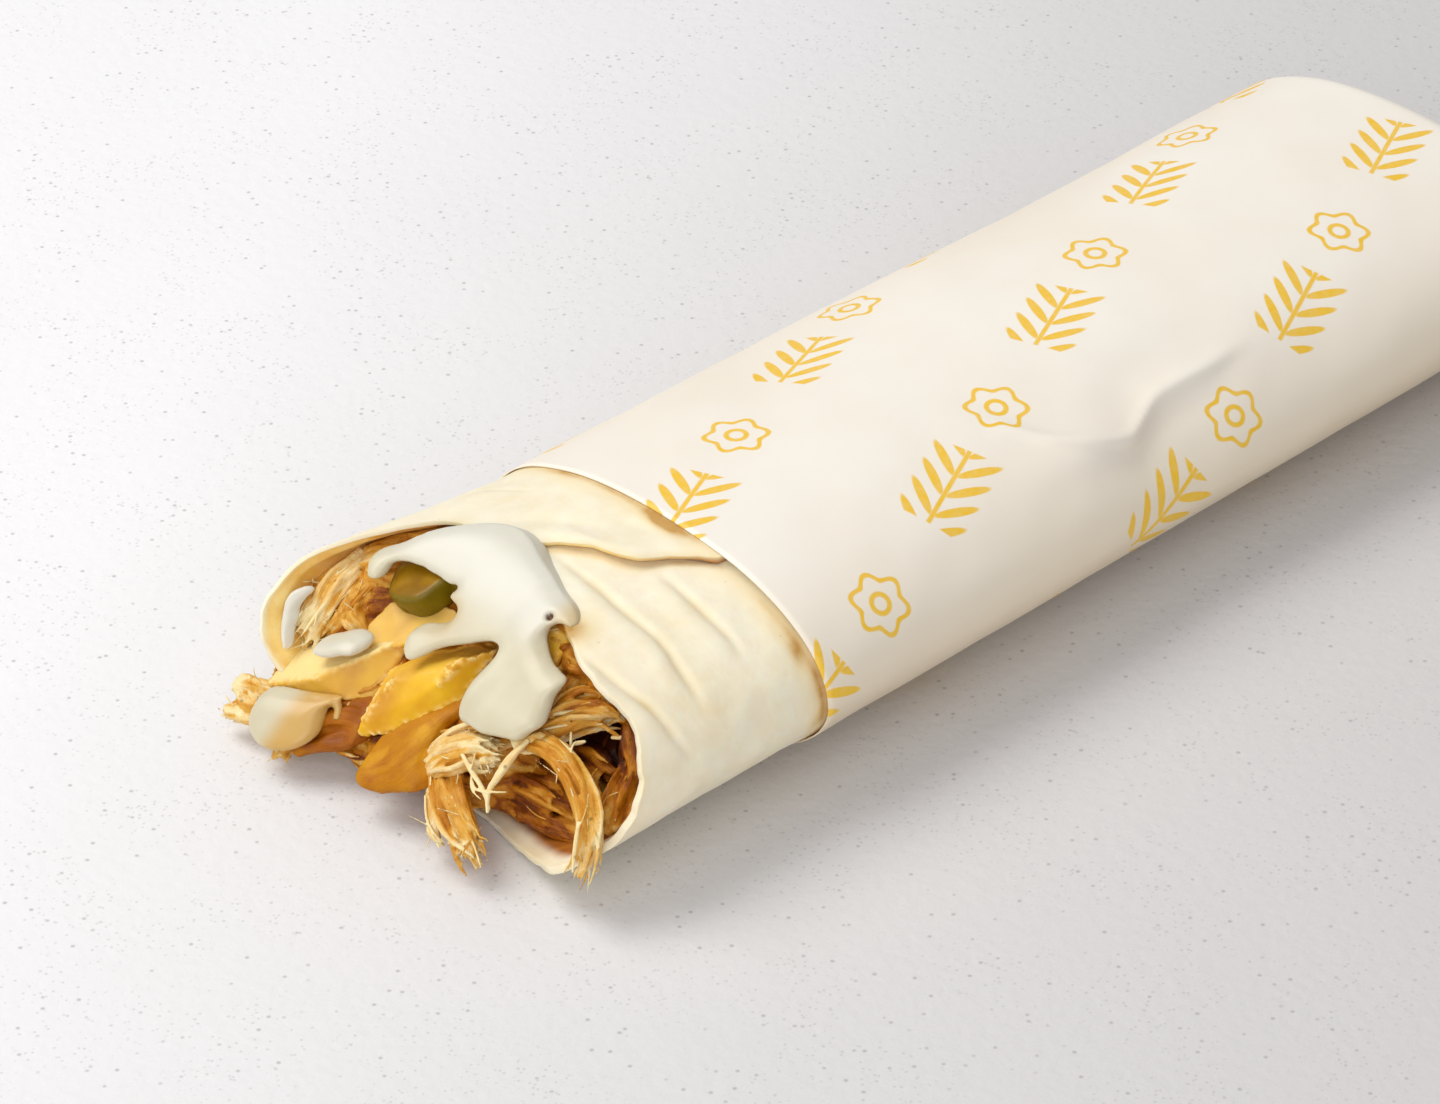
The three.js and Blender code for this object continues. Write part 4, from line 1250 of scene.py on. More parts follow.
def front_of_filling(degrees, t):
    """Back cap, wall and face of the part that can be seen."""
    edge = face_edge(degrees)
    x = mix(edge + FACE_DEPTH, edge, smooth(0.15, 0.55, t))
    wall = inside(x, degrees)
    drawn = np.minimum(np.clip(t / 0.15, 0, 1), np.clip((1 - t) / 0.45, 0, 1))
    y = wall[:, 1] * drawn
    z = mix(MIDDLE_Z, wall[:, 2], drawn)
    behind = MOUTH_FOOT + MOUTH_LEAN * z + CAP_BEHIND
    face = np.where(t > 0.55, filling_face(y, z), behind)
    x = mix(face, wall[:, 0], smooth(0.7, 1, drawn))
    return np.stack([x, y, z], axis=-1)


def rest_of_filling(degrees, t):
    """The part that the roll hides, from behind the face to its far end."""
    edge = face_edge(degrees) + FACE_DEPTH - 3
    x = mix(edge, BREAD_END - 1, np.clip((t - 0.1) / 0.8, 0, 1) ** 1.4)
    wall = inside(x, degrees, CORE_INSET + 0.25 * (1 + ripple(x / 6, degrees / 25)))
    drawn = np.minimum(np.clip(t / 0.1, 0, 1), np.clip((1 - t) / 0.1, 0, 1))
    y = wall[:, 1] * drawn
    z = mix(MIDDLE_Z, wall[:, 2], drawn)
    lean = np.where(t < 0.5, MOUTH_FOOT + MOUTH_LEAN * z + CAP_BEHIND - 2, BREAD_END - 1)
    return np.stack([mix(lean, wall[:, 0], smooth(0.7, 1, drawn)), y, z], axis=-1)


def unit_inside(y, z):
    """Below 1 where a place lies beyond the bread's inner face: how far it is drawn in."""
    wide = np.where(y > 0, 36.5, 31.5)
    far = np.sqrt((y / wide) ** 2 + ((z - MIDDLE_Z) / 13.2) ** 2)
    return np.minimum(1, 1 / np.maximum(far, 1e-6))


def clinging_clumps(rng, count):
    """Small clumps of shreds that lie on the filling's face and on the bread beside it."""
    fibres = []
    for _ in range(count):
        degrees = rng.uniform(-180, 180)
        share = math.sqrt(rng.uniform(0.02, 1)) * 0.95
        place = inside(np.array([0.8 * RIM(level(degrees))]), np.array([degrees]), 0.9)[0]
        y, z = place[1] * share, mix(MIDDLE_Z, place[2], share)
        heading = rng.uniform(-0.9, 0.9) + (math.pi if rng.uniform() < 0.5 else 0)
        length = rng.uniform(7, 14)
        bend = rng.uniform(-0.4, 0.4)
        t = np.linspace(-0.5, 0.5, 5)
        ys = y + length * t * math.cos(heading) - bend * length * t * t * math.sin(heading)
        zs = z + length * t * math.sin(heading) + bend * length * t * t * math.cos(heading)
        drawn = unit_inside(ys, zs)
        ys, zs = ys * drawn, mix(MIDDLE_Z, zs, drawn)
        bare_low = zs.min() < BARE_LOW and -6 < ys.mean() < 14
        under_chips = 3 < ys.mean() < 19 and 17 < zs.mean() < 27
        if bare_low or under_chips:
            continue
        lift = 1.3 * bell(t / 0.3) - 0.9 + rng.uniform(-0.4, 0.5)
        points = np.stack([filling_face(ys, zs) - OUT_STEP * lift, ys, zs], axis=-1)
        sizes = np.array([0.6, 1, 1.1, 1, 0.6])
        wide = rng.uniform(2.2, 4.4)
        tone = rng.uniform(0.34, 0.64)
        fibres += bundle((points, sizes), wide, 0.55 * wide, 14, rng, 0.4, tone, 0.14, 0.5, 0.28)
    return fibres


shred_draw = np.random.default_rng(7)
heap = clinging_clumps(shred_draw, CLUMPS)
loose = strays(heap, 70, shred_draw)
for route, width, count, tone in SHREDS:
    drawn = bundle(
        in_mouth(route), width, 0.65 * width, int(1.5 * count), shred_draw,
        0.38, tone, 0.14, 0.7, 0.3, UNEVEN,
    )
    heap += drawn
    loose += strays(drawn, 5, shred_draw)
front = closed_tube("filling_front", 96, 60, front_of_filling)
shreds = meat("chicken_shreds_heap", heap, 0.36, 1, 0.3, front)
hand_over(shreds, chicken_flesh, "roast_chicken", "chicken_shreds")

rest = closed_tube("packed_filling", 60, 60, rest_of_filling)
paint(rest, "tone", 0.4 + 0.3 * ripple(*(places_of(rest).T / 5)))
hand_over(rest, chicken_flesh, "roast_chicken", "chicken_shreds")

# %% [markdown]
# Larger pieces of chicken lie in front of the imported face, and each can be told apart. The strips are
# bundles with frayed tips. Two pieces are soft and soaked with smooth skins, so they are thick sheets cut
# to their outline, with a few fibres melted into them.

# %% The larger pieces of chicken
# Each strip: its route as [y, z, out, size], width, thickness, fibres and tone.
STRIPS = {
    "chicken_strip_1": ([
        [34.8, 22.6, -1.2, 0.6], [33.9, 22.0, 0.6, 1], [33.9, 20.8, 2.0, 1.1], [33.6, 19.4, 2.6, 1.2],
        [33.2, 17.4, 2.6, 1.1], [33.2, 15.0, 2.4, 0.9], [33.4, 13.0, 2.0, 0.6],
    ], 4.8, 2.8, 26, 0.76),
    "chicken_strip_2": ([
        [31.6, 22.6, -3.0, 0.8], [29.4, 21.0, -0.6, 1], [28.6, 19.3, 0.6, 1.1], [29.2, 17.5, 1.0, 1.1],
        [30.6, 15.4, 0.8, 1], [31.6, 12.8, 0.4, 0.7],
    ], 5.6, 3.2, 30, 0.54),
    "chicken_strip_3": ([
        [-8.7, 15.6, 0.3, 0.7], [-12.3, 17.4, 2.0, 0.8], [-16.3, 18.4, 2.8, 0.9],
        [-20.8, 18.6, 3.4, 1.05], [-25.2, 17.6, 3.6, 1.1], [-28.4, 16.0, 3.4, 1.05],
        [-30.4, 14.0, 2.9, 0.95], [-31.4, 11.6, 2.2, 0.85], [-31.4, 9.4, 1.5, 0.7],
        [-30.9, 7.6, 1.0, 0.5],
    ], 4.8, 3.2, 34, 0.6),
    "chicken_strip_4": ([
        [1.4, 8.9, 1.0, 0.7], [-0.7, 11.4, 2.4, 1], [-3.0, 13.2, 3.0, 1.2], [-5.4, 14.5, 3.2, 1.1],
        [-7.5, 14.8, 2.8, 0.9], [-9.4, 14.9, 2.2, 0.5],
    ], 6.0, 4.2, 34, 0.74),
    "chicken_strip_5": ([
        [-0.1, 8.2, -1.0, 0.8], [-3.6, 8.8, 1.2, 1.1], [-7.0, 8.2, 2.2, 1.2], [-10.4, 7.0, 2.4, 1],
        [-13.4, 5.8, 2.0, 0.95], [-15.6, 4.4, 1.2, 0.7],
    ], 5.6, 3.6, 30, 0.58),
    "chicken_strip_6": ([
        [-10.6, 16.4, -0.6, 0.7], [-13.3, 18.6, 0.0, 1], [-15.4, 20.2, -0.8, 1.1], [-17.9, 20.4, -2.4, 1],
        [-21, 19.4, -4.4, 0.7],
    ], 5.4, 4.0, 28, 0.6),
}
# Each soft piece: its outline as [y, z], how far out it lies, thickness, tone, and routes of its fibres.
SOFT = {
    "chicken_piece_1": (
        [
            [11.7, 8.9], [11.5, 6.9], [11.1, 5.6], [8.6, 4.8], [5.9, 5.0], [2.8, 5.8], [-0.6, 7.2],
            [-0.8, 9.1], [1.8, 10.9], [2.2, 13.7], [0.4, 16.0], [1.9, 17.5], [4.8, 16.2], [7.7, 14.2],
            [11.2, 12.2],
        ], 1.0, 5.2, 0.54,
        [
            [[10, 6, 2.2, 1], [6, 9, 3.2, 1], [3, 14, 2.4, 0.7]],
            [[7, 5.6, 2.0, 1], [3.6, 8, 2.8, 1], [1.6, 12, 1.8, 0.7]],
        ],
    ),
    "chicken_piece_2": (
        [
            [23.5, 10.2], [20.5, 11.5], [17.3, 12.5], [13.9, 11.8], [14.2, 8.8], [14.0, 7.6], [15.2, 6.6],
            [18.0, 5.2], [20.3, 4.3], [22.3, 3.2], [23.0, 2.6], [24.1, 2.9], [24.8, 4.1], [25.6, 5.3],
            [26.6, 6.7], [26.8, 9.3],
        ], 0.2, 4.6, 0.22,
        [
            [[15, 7.6, 1.0, 1], [19, 6.6, 2.4, 1], [23.2, 4.0, 1.6, 0.6]],
            [[15, 9.6, 1.4, 1], [19, 9.6, 2.4, 1], [23.6, 6.4, 2.0, 0.7]],
        ],
    ),
}

for seed, (name, (route, width, thick, count, tone)) in enumerate(STRIPS.items()):
    draw = np.random.default_rng(20 + seed)
    fibres = bundle(in_mouth(route), width, thick, 2 * count, draw, 0.37, tone, 0.16, 1.1, 0.3, UNEVEN)
    loose += strays(fibres, 34, draw)
    strip = meat(name + "_meat", fibres, 0.22, 2, tone)
    hand_over(strip, chicken_flesh, "roast_chicken", name)

for seed, (name, (outline, out, thick, tone, routes)) in enumerate(SOFT.items()):
    draw = np.random.default_rng(40 + seed)
    lump = cut_sheet(
        name + "_body", outline, lambda y, z: out + 0.5 * ripple(y / 3, z / 3, seed), thick, 2.6,
    )
    fibres = []
    for route in routes:
        fibres += bundle(in_mouth(route), 3.4, 1.4, 7, draw, 0.5, tone, 0.1, 0.3)
    soft = meat(name + "_meat", fibres, 0.3, 4, tone, lump)
    hand_over(soft, chicken_juicy, "roast_chicken", name)

# %% [markdown]
# Pale threads have come loose from the chicken and catch the light. The ones that can be told apart have
# a route of their own, and the fine ones were drawn at random from the fibres above. All are single
# fibres, thinner than the rest, and bright because they are dry.

# %% Loose pale threads
THREADS = [
    ([[-5.0, 15.1, 5.0], [-9.0, 14.5, 5.6], [-12.2, 13.7, 5.6], [-14.7, 11.8, 4.8]], 0.4),
    ([
        [-13.5, 18.9, 4.2], [-13.4, 17.8, 5.0], [-13.6, 15.7, 5.6], [-13.4, 13.8, 5.6],
        [-14.7, 11.4, 4.8],
    ], 0.54),
    ([[-12.9, 18.5, 4.0], [-12.6, 16.8, 5.0], [-12.9, 14.8, 5.4], [-13.0, 12.9, 5.2]], 0.29),
    ([[-9.2, 13.5, 5.0], [-11.4, 13.3, 5.6], [-14.2, 14.1, 5.8], [-16.0, 14.4, 5.2]], 0.22),
    ([[-8.4, 14.6, 5.2], [-10.4, 13.0, 5.4], [-13.0, 12.6, 5.4]], 0.19),
    ([[-3.2, 17.4, 4.2], [-1.3, 16.1, 4.4], [-0.2, 14.8, 4.2], [1.0, 13.6, 3.6]], 0.45),
    ([[-16.6, 19.2, 0.8], [-17.9, 18.6, 1.2], [-18.2, 17.4, 0.6]], 0.26),
    ([[-17.5, 21.4, -1.4], [-18.6, 20.9, -0.8], [-18.4, 19.8, -1.6]], 0.22),
    ([[-17.6, 17.9, 0.2], [-19.4, 18.9, 0.4]], 0.36),
    ([[-11.6, 19.8, 1.6], [-14.1, 20.9, 1.6], [-16.6, 21.5, 0.4]], 0.36),
    ([[-12.4, 18.4, 2.0], [-14.6, 19.6, 1.8], [-17.2, 20.2, 0.4]], 0.24),
    ([[-20.3, 18.0, -3.0], [-21.6, 18.3, -3.2], [-22.6, 17.8, -4.4]], 0.36),
    ([[-0.7, 9.6, 2.4], [-2.0, 9.3, 3.0], [-2.1, 7.9, 2.4]], 0.17),
    ([[-29.6, 16.0, 5.6], [-31.4, 13.2, 5.2], [-32.4, 10.6, 4.2]], 0.36),
    ([[-2.2, 8.2, 3.0], [-5.2, 6.4, 3.2], [-8.8, 5.0, 2.6]], 0.23),
    ([[35.4, 20.4, 2.6], [35.3, 17.6, 3.4], [34.6, 14.2, 3.0]], 0.3),
]
THREAD_TAPER = np.array([0.8, 1, 0.9, 0.5])
threads = [Fibre(in_mouth(route)[0], radius * THREAD_TAPER, 0.97) for route, radius in THREADS]
thread_piece = meat("chicken_threads", threads + loose, 0.15, 1, 0.9)
hand_over(thread_piece, chicken_flesh, "roast_chicken", "chicken_shreds")

# %% [markdown]
# Chips are sticks of potato with a thin fried skin: golden on their faces, and paler, crisp and uneven
# along their cut edges, where the pale crust is partly painted highlight. Their upper sides are painted
# paler as well, as a highlight. Each is the convex hull of the corners of a cut stick. Its edges are
# beveled, a remesh fills it with even faces, and its vertices are roughened most near the cut edges.

# %% Fried potato
def potato_material():
    material, add = new_material("fried_potato")
    here = add("TexCoord", **PLACE)
    edge = add("Attribute", **VALUE, attribute_name="edge")
    pale = add("Attribute", **VALUE, attribute_name="pale")
    cloud = add("TexNoise", {"Vector": here, "Scale": 150, "Detail": 3})
    fine = add("TexNoise", {"Vector": here, "Scale": 1100, "Detail": 3})
    gold = add("ValToRGB", cloud, stops=[[0.3, "#CE8C00"], [0.5, "#E0A600"], [0.72, "#ECBA08"]])
    # Painted highlight: the upper side is mixed towards pale yellow.
    soft = add("Mix", {0: pale, 6: gold, 7: colour("#F8E4A4")}, **BLEND)
    # The crust along the cut edges, from brown to pale, is partly painted highlight.
    crisp = add("ValToRGB", fine, stops=[[0.36, "#C98A28"], [0.5, "#F0C565"], [0.66, "#FBE6AE"]])
    rough = add("Math MULTIPLY", edge, add("Math ADD", fine, 0.35))
    skin = add("Mix", {0: rough, 6: soft, 7: crisp}, **BLEND)
    crumbly = add("Math MULTIPLY_ADD", edge, 0.6, 0.08)
    bump = add("Bump", {"Height": fine, "Strength": crumbly, "Distance": 0.0003})
    surface = add("BsdfPrincipled", {
        "Base Color": skin,
        "Roughness": 0.48,
        "Specular IOR Level": 0.2,
        "Subsurface Weight": 0.2,
        "Subsurface Radius": (1.0, 0.6, 0.1),
        "Subsurface Scale": 0.0015,
        "Coat Weight": 0.05,
        "Coat Roughness": 0.2,
        "Normal": bump,
    })
    add("OutputMaterial", {"Surface": surface})
    return material


potato = potato_material()
CHIP_BEVEL = 0.45
CUT_ANGLE = 0.45  # the hull's edges sharper than this are cut edges, with a crust
CRUST_WIDE = 0.75
# Each: the corners as [y, z, out], how much painted highlight lightens its upper side, and how crisp
# its edges are.
CHIPS = [
    ([
        [33.4, 9.4, 4.0], [32.1, 8.6, 3.0], [24.5, 10.0, 2.6], [19.6, 11.0, 2.0], [16.7, 12.0, 1.0],
        [18.0, 11.0, -4.0], [18.8, 13.1, -8.0], [33.9, 11.8, 2.4], [30.6, 13.8, 1.8], [27.3, 16.1, -1.0],
        [27.8, 17.4, -5.0], [20.5, 18.4, -9.0], [25.2, 13.1, 4.8], [21.9, 16.0, 5.0], [19.2, 18.0, 4.4],
        [15.9, 20.2, 1.6], [16.4, 19.6, -2.0],
    ], 0.8, 0.45),
    ([
        [24.8, 17.3, 2.0], [21.9, 16.7, 2.6], [23.5, 20.9, 1.2], [18.5, 22.7, 0.6], [12.3, 23.4, 0.8],
        [9.0, 21.4, 2.0], [15.4, 19.7, 3.2], [19.8, 17.4, 3.0], [29.8, 13.9, -6.0], [18.7, 17.6, -6.0],
        [15.7, 15.6, -5.0], [27.1, 11.7, -4.0],
    ], 0.3, 0.25),
    ([
        [14.4, 10.9, 4.2], [14.1, 9.8, 3.4], [13.3, 9.3, 2.8], [10.2, 10.7, 3.0], [8.8, 11.7, 2.8],
        [5.6, 13.9, 2.4], [3.6, 15.4, 2.0], [2.2, 16.8, 1.4], [2.4, 19.4, 1.0], [1.0, 23.6, 2.2],
        [12.7, 17.3, 5.2], [4.9, 19.7, 5.2], [5.5, 21.1, 5.2], [3.9, 22.6, 4.6], [15.4, 17.1, 3.4],
        [14.0, 17.8, 3.0], [12.8, 18.9, 1.6], [8.8, 20.6, 0.2], [4.7, 18.7, -6.0], [3.4, 14.0, -6.0],
        [10.5, 11.3, -5.0], [16.8, 14.7, -4.0],
    ], 0.12, 1.0),
    ([
        [-4.0, 28.2, 2.6], [-8.4, 27.6, 2.0], [-4.2, 23.6, 2.8], [-8.8, 23.0, 1.8], [0, 27.4, -5],
        [0, 22, -5], [-6.4, 27.4, -9], [-6.6, 21.8, -9],
    ], 0.15, 0.5),
    ([
        [27.6, 8.0, -2], [27.0, 4.6, -2.4], [22.4, 3.8, -1.8], [22.0, 9.6, -1], [14, 14, -8],
        [10, 12, -9], [10.4, 7.4, -9], [14.6, 6.2, -8],
    ], 0.0, 0.5),
]


def chip(number, corners, pale, crisp):
    mesh = bpy.data.meshes.new(f"chip_{number}_fried")
    mesh.from_pydata([mouth(*corner) for corner in corners], [], [])
    piece = bpy.data.objects.new(mesh.name, mesh)
    bpy.context.scene.collection.objects.link(piece)
    edit(piece, bpy.ops.mesh.convex_hull)
    form = bmesh.new()
    form.from_mesh(mesh)
    cuts = [edge for edge in form.edges if edge.calc_face_angle(0) > CUT_ANGLE]
    starts, ends = zip(*[[np.array(v.co) for v in edge.verts] for edge in cuts])
    form.free()
    apply_modifier(piece, "BEVEL", width=CHIP_BEVEL, segments=2, limit_method="ANGLE", angle_limit=0.3)
    melt(piece, 0.3, 3)
    spots = places_of(piece)
    edge = crisp * bell(to_segments(spots, starts, ends) / CRUST_WIDE)
    normals = numbers(mesh.vertices, "normal")
    x, y, z = spots.T
    blister = 0.34 * edge * ripple(x / 0.55 + number, y / 0.55, z / 0.55)
    blister = blister + 0.22 * ripple(x / 2.4, y / 2.1 + number, z / 2.4) - 0.25 * (1 - edge / crisp)
    move_to(piece, spots + normals * blister[:, None])
    paint(piece, "edge", edge * smooth(-0.75, 0.1, ripple(x / 1.3, y / 1.3, z / 1.3 + number)))
    # Painted highlight on the faces that point up.
    paint(piece, "pale", pale * mix(0.2, 1, smooth(0.35, 0.95, normals[:, 2])))
    outward(piece)
    hand_over(piece, potato, "fried_potato", f"chip_{number}")


for number, sizes in enumerate(CHIPS, 1):
    chip(number, *sizes)

# %% [markdown]
# A pickle slice is a thick disc cut across a small cucumber: olive green, a little see-through, wet, with
# a darker rind and paler seeds in its face. It starts as a cylinder with beveled rims.

# %% Pickle slices
def pickle_material():
    material, add = new_material("pickled_cucumber")
    here = add("TexCoord", **PLACE)
    rind = add("Attribute", **VALUE, attribute_name="rind")
    cloud = add("TexNoise", {"Vector": here, "Scale": 200, "Detail": 3})
    flesh = add("ValToRGB", cloud, stops=[[0.3, "#805A00"], [0.5, "#926800"], [0.75, "#A67C08"]])
    skin = add("ValToRGB", cloud, stops=[[0.3, "#6C5800"], [0.7, "#84700A"]])
    green = add("Mix", {0: rind, 6: flesh, 7: skin}, **BLEND)
    bump = add("Bump", {"Height": cloud, "Strength": 0.3, "Distance": 0.0005})
    surface = add("BsdfPrincipled", {
        "Base Color": green,
        "Roughness": 0.42,
        "Specular IOR Level": 0.25,
        "Subsurface Weight": 0.3,
        "Subsurface Radius": (0.8, 0.7, 0.15),
        "Subsurface Scale": 0.002,
        "Coat Weight": 0.12,
        "Coat Roughness": 0.12,
        "Normal": bump,
    })
    add("OutputMaterial", {"Surface": surface})
    return material


cucumber = pickle_material()
# Each: middle as [y, z, out], radius, thickness and tilt.
PICKLES = [([20.0, 24.9, 0.8], 6.6, 4.8, 0.5), ([14.4, 27.0, -0.6], 5.6, 4.2, 0.2)]


def pickle(number, middle, radius, thick, tilt):
    bpy.ops.object.select_all(action="DESELECT")
    bpy.ops.mesh.primitive_cylinder_add(vertices=48, radius=radius, depth=thick)
    piece = bpy.context.object
    piece.name = f"pickle_{number}_slice"
    piece.data.name = piece.name
    edit(piece, bpy.ops.mesh.bevel, offset=1.0, segments=3, affect="EDGES", offset_type="OFFSET")
    melt(piece, 0.3, 2)
    disc = places_of(piece)
    out = np.hypot(disc[:, 0], disc[:, 1]) / radius
    turn = np.arctan2(disc[:, 1], disc[:, 0])
    warty = 0.25 * np.sin(5 * turn + number) * out + 0.12 * ripple(turn * 4, disc[:, 2])
    disc[:, :2] *= (1 + warty / radius)[:, None]
    disc[:, 1] *= 0.85
    hollow = 0.5 * bell(out / 0.5) * np.sign(disc[:, 2])
    disc[:, 2] += 0.3 * ripple(disc[:, 0] / 3, disc[:, 1] / 3) - hollow
    axis = unit(np.array([-math.sin(tilt), 0.25, math.cos(tilt)]))
    across = unit(np.cross([0, 1, 0], axis))
    up = np.cross(axis, across)
    place = mouth(*middle) + disc[:, :1] * across + disc[:, 1:2] * up + disc[:, 2:] * axis
    move_to(piece, place)
    paint(piece, "rind", smooth(0.82, 0.94, out))
    outward(piece)
    hand_over(piece, cucumber, "pickle", f"pickle_{number}")


for number, sizes in enumerate(PICKLES, 1):
    pickle(number, *sizes)

# %% [markdown]
# Garlic sauce is thick and white with a warm cast. It was poured over the mouth from the top, and lies on
# it like a blanket with soft arms and round drops. Such a puddle is flat, so each is a sheet cut to its
# outline and laid over the filling, thick in its middle and rounded at its edge. It is then melted and
# relaxed much more than the chicken, until no edge is left.

# %% Garlic sauce
def sauce_material():
    material, add = new_material("garlic_sauce")
    here = add("TexCoord", **PLACE)
    thin = add("Attribute", **VALUE, attribute_name="thin")
    cloud = add("TexNoise", {"Vector": here, "Scale": 120, "Detail": 3})
    cream = add("ValToRGB", cloud, stops=[[0.3, "#C8BEA0"], [0.7, "#D0C8AC"]])
    tint = add("Mix", {0: thin, 6: cream, 7: colour("#CA9C40")}, **BLEND)
    # Painted light: an attribute mixes some sauce towards a whiter cream.
    fresh = add("Attribute", **VALUE, attribute_name="fresh")
    tint = add("Mix", {0: fresh, 6: tint, 7: colour("#D8D5C8")}, **BLEND)
    # Painted shade, with the chicken's colour, for the dimple of a burst bubble.
    burst = add("Attribute", **VALUE, attribute_name="burst")
    tint = add("Mix", {0: burst, 6: tint, 7: colour("#5E3C12")}, **BLEND)
    bump = add("Bump", {"Height": cloud, "Strength": 0.2, "Distance": 0.0008})
    surface = add("BsdfPrincipled", {
        "Base Color": tint,
        "Roughness": 0.36,
        "Subsurface Weight": 0.4,
        "Subsurface Radius": (1.0, 0.85, 0.55),
        "Subsurface Scale": 0.002,
        "Coat Weight": 0.1,
        "Coat Roughness": 0.15,
        "Normal": bump,
    })
    add("OutputMaterial", {"Surface": surface})
    return material


sauce = sauce_material()
# How far out the poured sauce lies at each height.
BLANKET = through([
    [4, 4.2], [17, 4.4], [20, 5.0], [23, 4.8], [26, 4.4], [29, 3.9], [31.5, 3.2], [33, 2.3], [34.5, 0.8],
    [37, -1],
])


def blanket(y, z):
    """The same at each place, as it follows what is under it."""
    over_chips = 0.7 * bell((y - 3) / 5) * bell((z - 21) / 4)
    ridge = 0.25 * bell((y + 2.5 + 0.25 * (z - 24)) / 3) * smooth(33, 28, z)
    over_rim = 1.3 * smooth(1, -12, y) * smooth(22, 32, z)
    uneven = 0.22 * ripple(y / 4, z / 4) + 0.05 * ripple(y / 1.9, z / 1.9, 2)
    return BLANKET(z) + over_chips + over_rim + ridge + uneven


# Each: the outline as [y, z], how far out it lies, its thickness and how wide its rounded edge is.
SAUCE = {
    "garlic_sauce": ([
        [26.6, 24.7], [27.9, 25.7], [28.4, 26.8], [27.4, 27.6], [25.3, 28.6], [24.4, 29.4], [22.3, 31.0],
        [19.2, 32.3], [15.6, 33.4], [12.4, 33.9], [9.6, 34.0], [7.0, 33.8], [4.4, 33.3], [1.8, 32.9],
        [-0.9, 32.5], [-4.2, 32.2], [-7.6, 32.1], [-9.8, 31.4], [-10.5, 30.6], [-8.8, 30.5], [-7.4, 30.3],
        [-6.5, 29.8], [-6.2, 29.0], [-6.8, 28.2], [-8.2, 27.4], [-10.1, 26.8], [-12.7, 26.5],
        [-14.3, 26.2], [-14.1, 25.2], [-13.8, 24.3], [-14.5, 22.8], [-15.2, 21.3], [-13.8, 20.3],
        [-13.4, 19.1], [-11.2, 18.8], [-8.8, 18.2], [-6.3, 17.6], [-3.9, 17.9], [-2.5, 17.8],
        [-1.5, 18.8], [-0.8, 20.7], [-0.6, 22.4], [-1.1, 23.7], [-1.5, 25.4], [-0.9, 26.0], [1.3, 25.6],
        [4.1, 24.3], [7.4, 23.0], [9.2, 21.6], [10.4, 20.5], [11.6, 20.2], [13.2, 21.0], [14.0, 22.1],
        [13.9, 23.2], [12.7, 23.9], [10.4, 24.4], [9.1, 25.3], [8.9, 26.4], [10.0, 26.8], [11.9, 26.8],
        [12.7, 27.1], [11.6, 27.9], [11.5, 28.3], [13.2, 27.7], [15.2, 27.8], [17.6, 27.9], [20.4, 27.9],
        [23.0, 27.5], [24.4, 26.8], [24.5, 26.1], [24.3, 25.2], [25.0, 24.8],
    ], blanket, 3.0, 1.6),
    "sauce_dollop": ([
        [27.6, 16.5], [27.5, 17.4], [26.6, 17.9], [25.2, 18.5], [23.8, 19.4], [21.8, 19.9], [20.0, 19.6],
        [19.6, 18.6], [20.4, 17.6], [22.2, 17.2], [23.4, 16.4], [25.2, 16.0], [26.7, 15.8],
    ], lambda y, z: 4.8 + 0 * y, 4.6, 2.0),
    "sauce_drip": ([
        [32.0, 9.6], [30.6, 10.4], [28.0, 10.9], [25.9, 11.3], [23.0, 11.7], [20.6, 12.3], [18.3, 12.5],
        [16.6, 11.6], [17.6, 11.7], [19.2, 12.0], [20.6, 11.5], [21.2, 10.7], [20.6, 9.4], [19.9, 8.0],
        [20.4, 6.9], [21.5, 5.9], [22.8, 5.4], [25.7, 4.8], [28.9, 5.3], [31.2, 6.5], [31.9, 7.9],
    ], lambda y, z: 4.4 - 0.8 * smooth(27, 20, y), 3.6, 2.0),
    "sauce_smear": ([
        [36.2, 20.2], [35.9, 21.1], [34.8, 21.4], [33.8, 21.2], [33.7, 20.5], [34.1, 19.7], [34.2, 18.7],
        [33.5, 17.8], [33.4, 16.7], [32.8, 15.4], [32.2, 14.1], [32.4, 13.2], [33.5, 14.6], [34.6, 16.2],
        [35.4, 18.0], [35.9, 19.2],
    ], lambda y, z: 4.6 + 0.66 * (y - 33), 1.9, 0.9),
}
BUBBLE = (-5.6, 31.0)  # a burst bubble in the poured sauce
BUBBLE_RADIUS = 0.65
BUBBLE_DEPTH = 0.8
# The drop that hangs from the drip's arm.
ARM_DROP = [
    [24.0, 10.9, 3.8, 0.9], [21.6, 11.3, 3.6, 0.85], [20.2, 11.1, 3.2, 0.8], [19.6, 10.4, 2.9, 0.7],
    [19.2, 9.4, 2.7, 0.75],
]
SAUCE_CELL = 0.28
SAUCE_SAG = 2.2

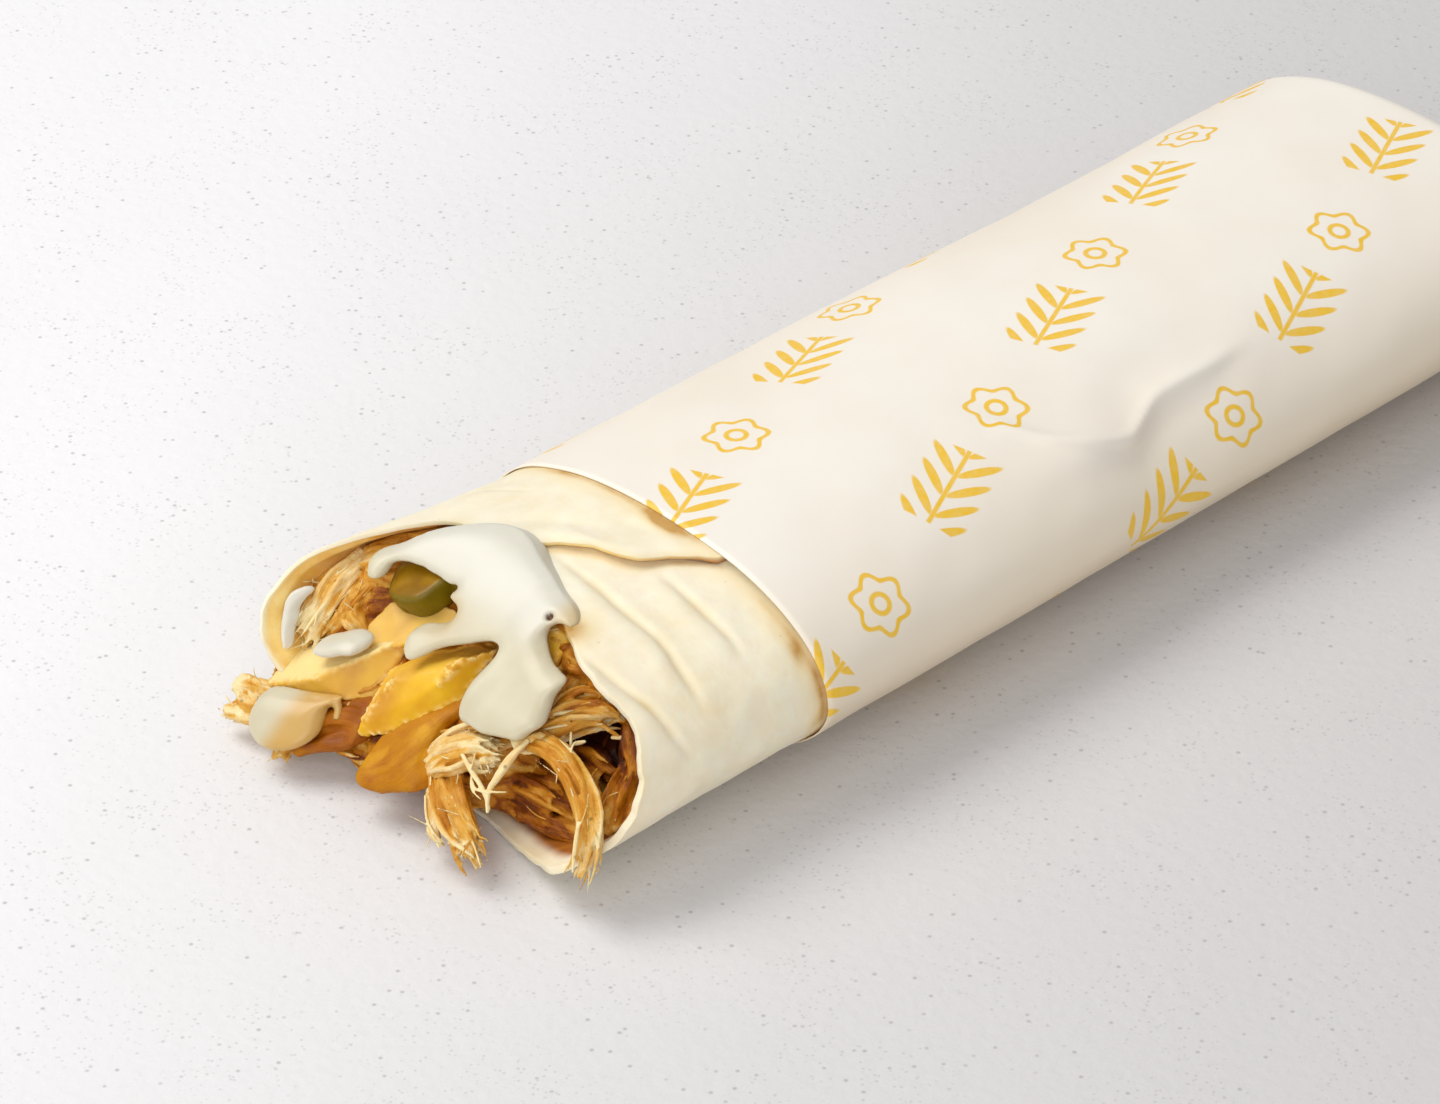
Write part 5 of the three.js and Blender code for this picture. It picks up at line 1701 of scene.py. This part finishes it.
for name, (outline, face_of, thick, edge) in SAUCE.items():
    piece = cut_sheet(name + "_poured", outline, face_of, thick, edge, SAUCE_CELL, SAUCE_SAG)
    if name == "sauce_drip":
        points, radii = in_mouth(ARM_DROP)
        join(piece, copies_joined("hanging_drop", [swept(points, radii)]))
    melt(piece, SAUCE_CELL, 9)
    outward(piece)
    spots = places_of(piece)
    x, y, z = spots.T
    # Thin sauce shows what is under it. Painted light makes some sauce whiter: the main sheet near its
    # top, the dollop, and the smear, which lies in the rim's shadow.
    over_pickle = 0.5 * bell((y - 11) / 3.2) * bell((z - 26) / 1.9)
    film = 0.35 * smooth(-4, -8, y) * smooth(28, 30, z)
    poured_white = 0.85 * smooth(26, 31, z) * smooth(-9, -4, y) * (1 - 1.6 * over_pickle)
    streaked = 0.1 + 0.6 * ripple(y / 1.3, z / 2.2) + 0.5 * smooth(33.6, 32.6, y)
    thin, fresh = {
        "garlic_sauce": (over_pickle + film, poured_white),
        "sauce_dollop": (0 * y, 0.5 + 0 * y),
        "sauce_drip": (0.85 * smooth(27.5, 23.5, y), 0 * y),
        "sauce_smear": (streaked, 0.9 + 0 * y),
    }[name]
    paint(piece, "thin", np.clip(thin, 0, 0.9))
    paint(piece, "fresh", fresh)
    # A burst bubble is a shallow dimple painted dark brown: the chicken below it, with painted shade
    # standing in for the open hole.
    open_at = spots[np.argmin(np.hypot(y - BUBBLE[0], z - BUBBLE[1]) + 0.05 * x)]
    gap = np.linalg.norm(spots - open_at, axis=1) / BUBBLE_RADIUS
    gap = gap + (name != "garlic_sauce") * 100
    paint(piece, "burst", smooth(1.15, 0.75, gap))
    move_to(piece, spots - TO_THE_EYE * BUBBLE_DEPTH * bell(gap)[:, None])
    hand_over(piece, sauce, "garlic_sauce", name)

# %% [markdown]
# Last, the boxes of the imported model and of what is shown are kept side by side, in metres.

# %% Keep both boxes, and finish
shown_low, shown_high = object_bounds()
sizes = {
    "cad": [list(cad_low), list(cad_high)],
    "visual": [list(shown_low), list(shown_high)],
}
print("visual box in mm:", [round((b - a) / MM, 1) for a, b in zip(shown_low, shown_high)])
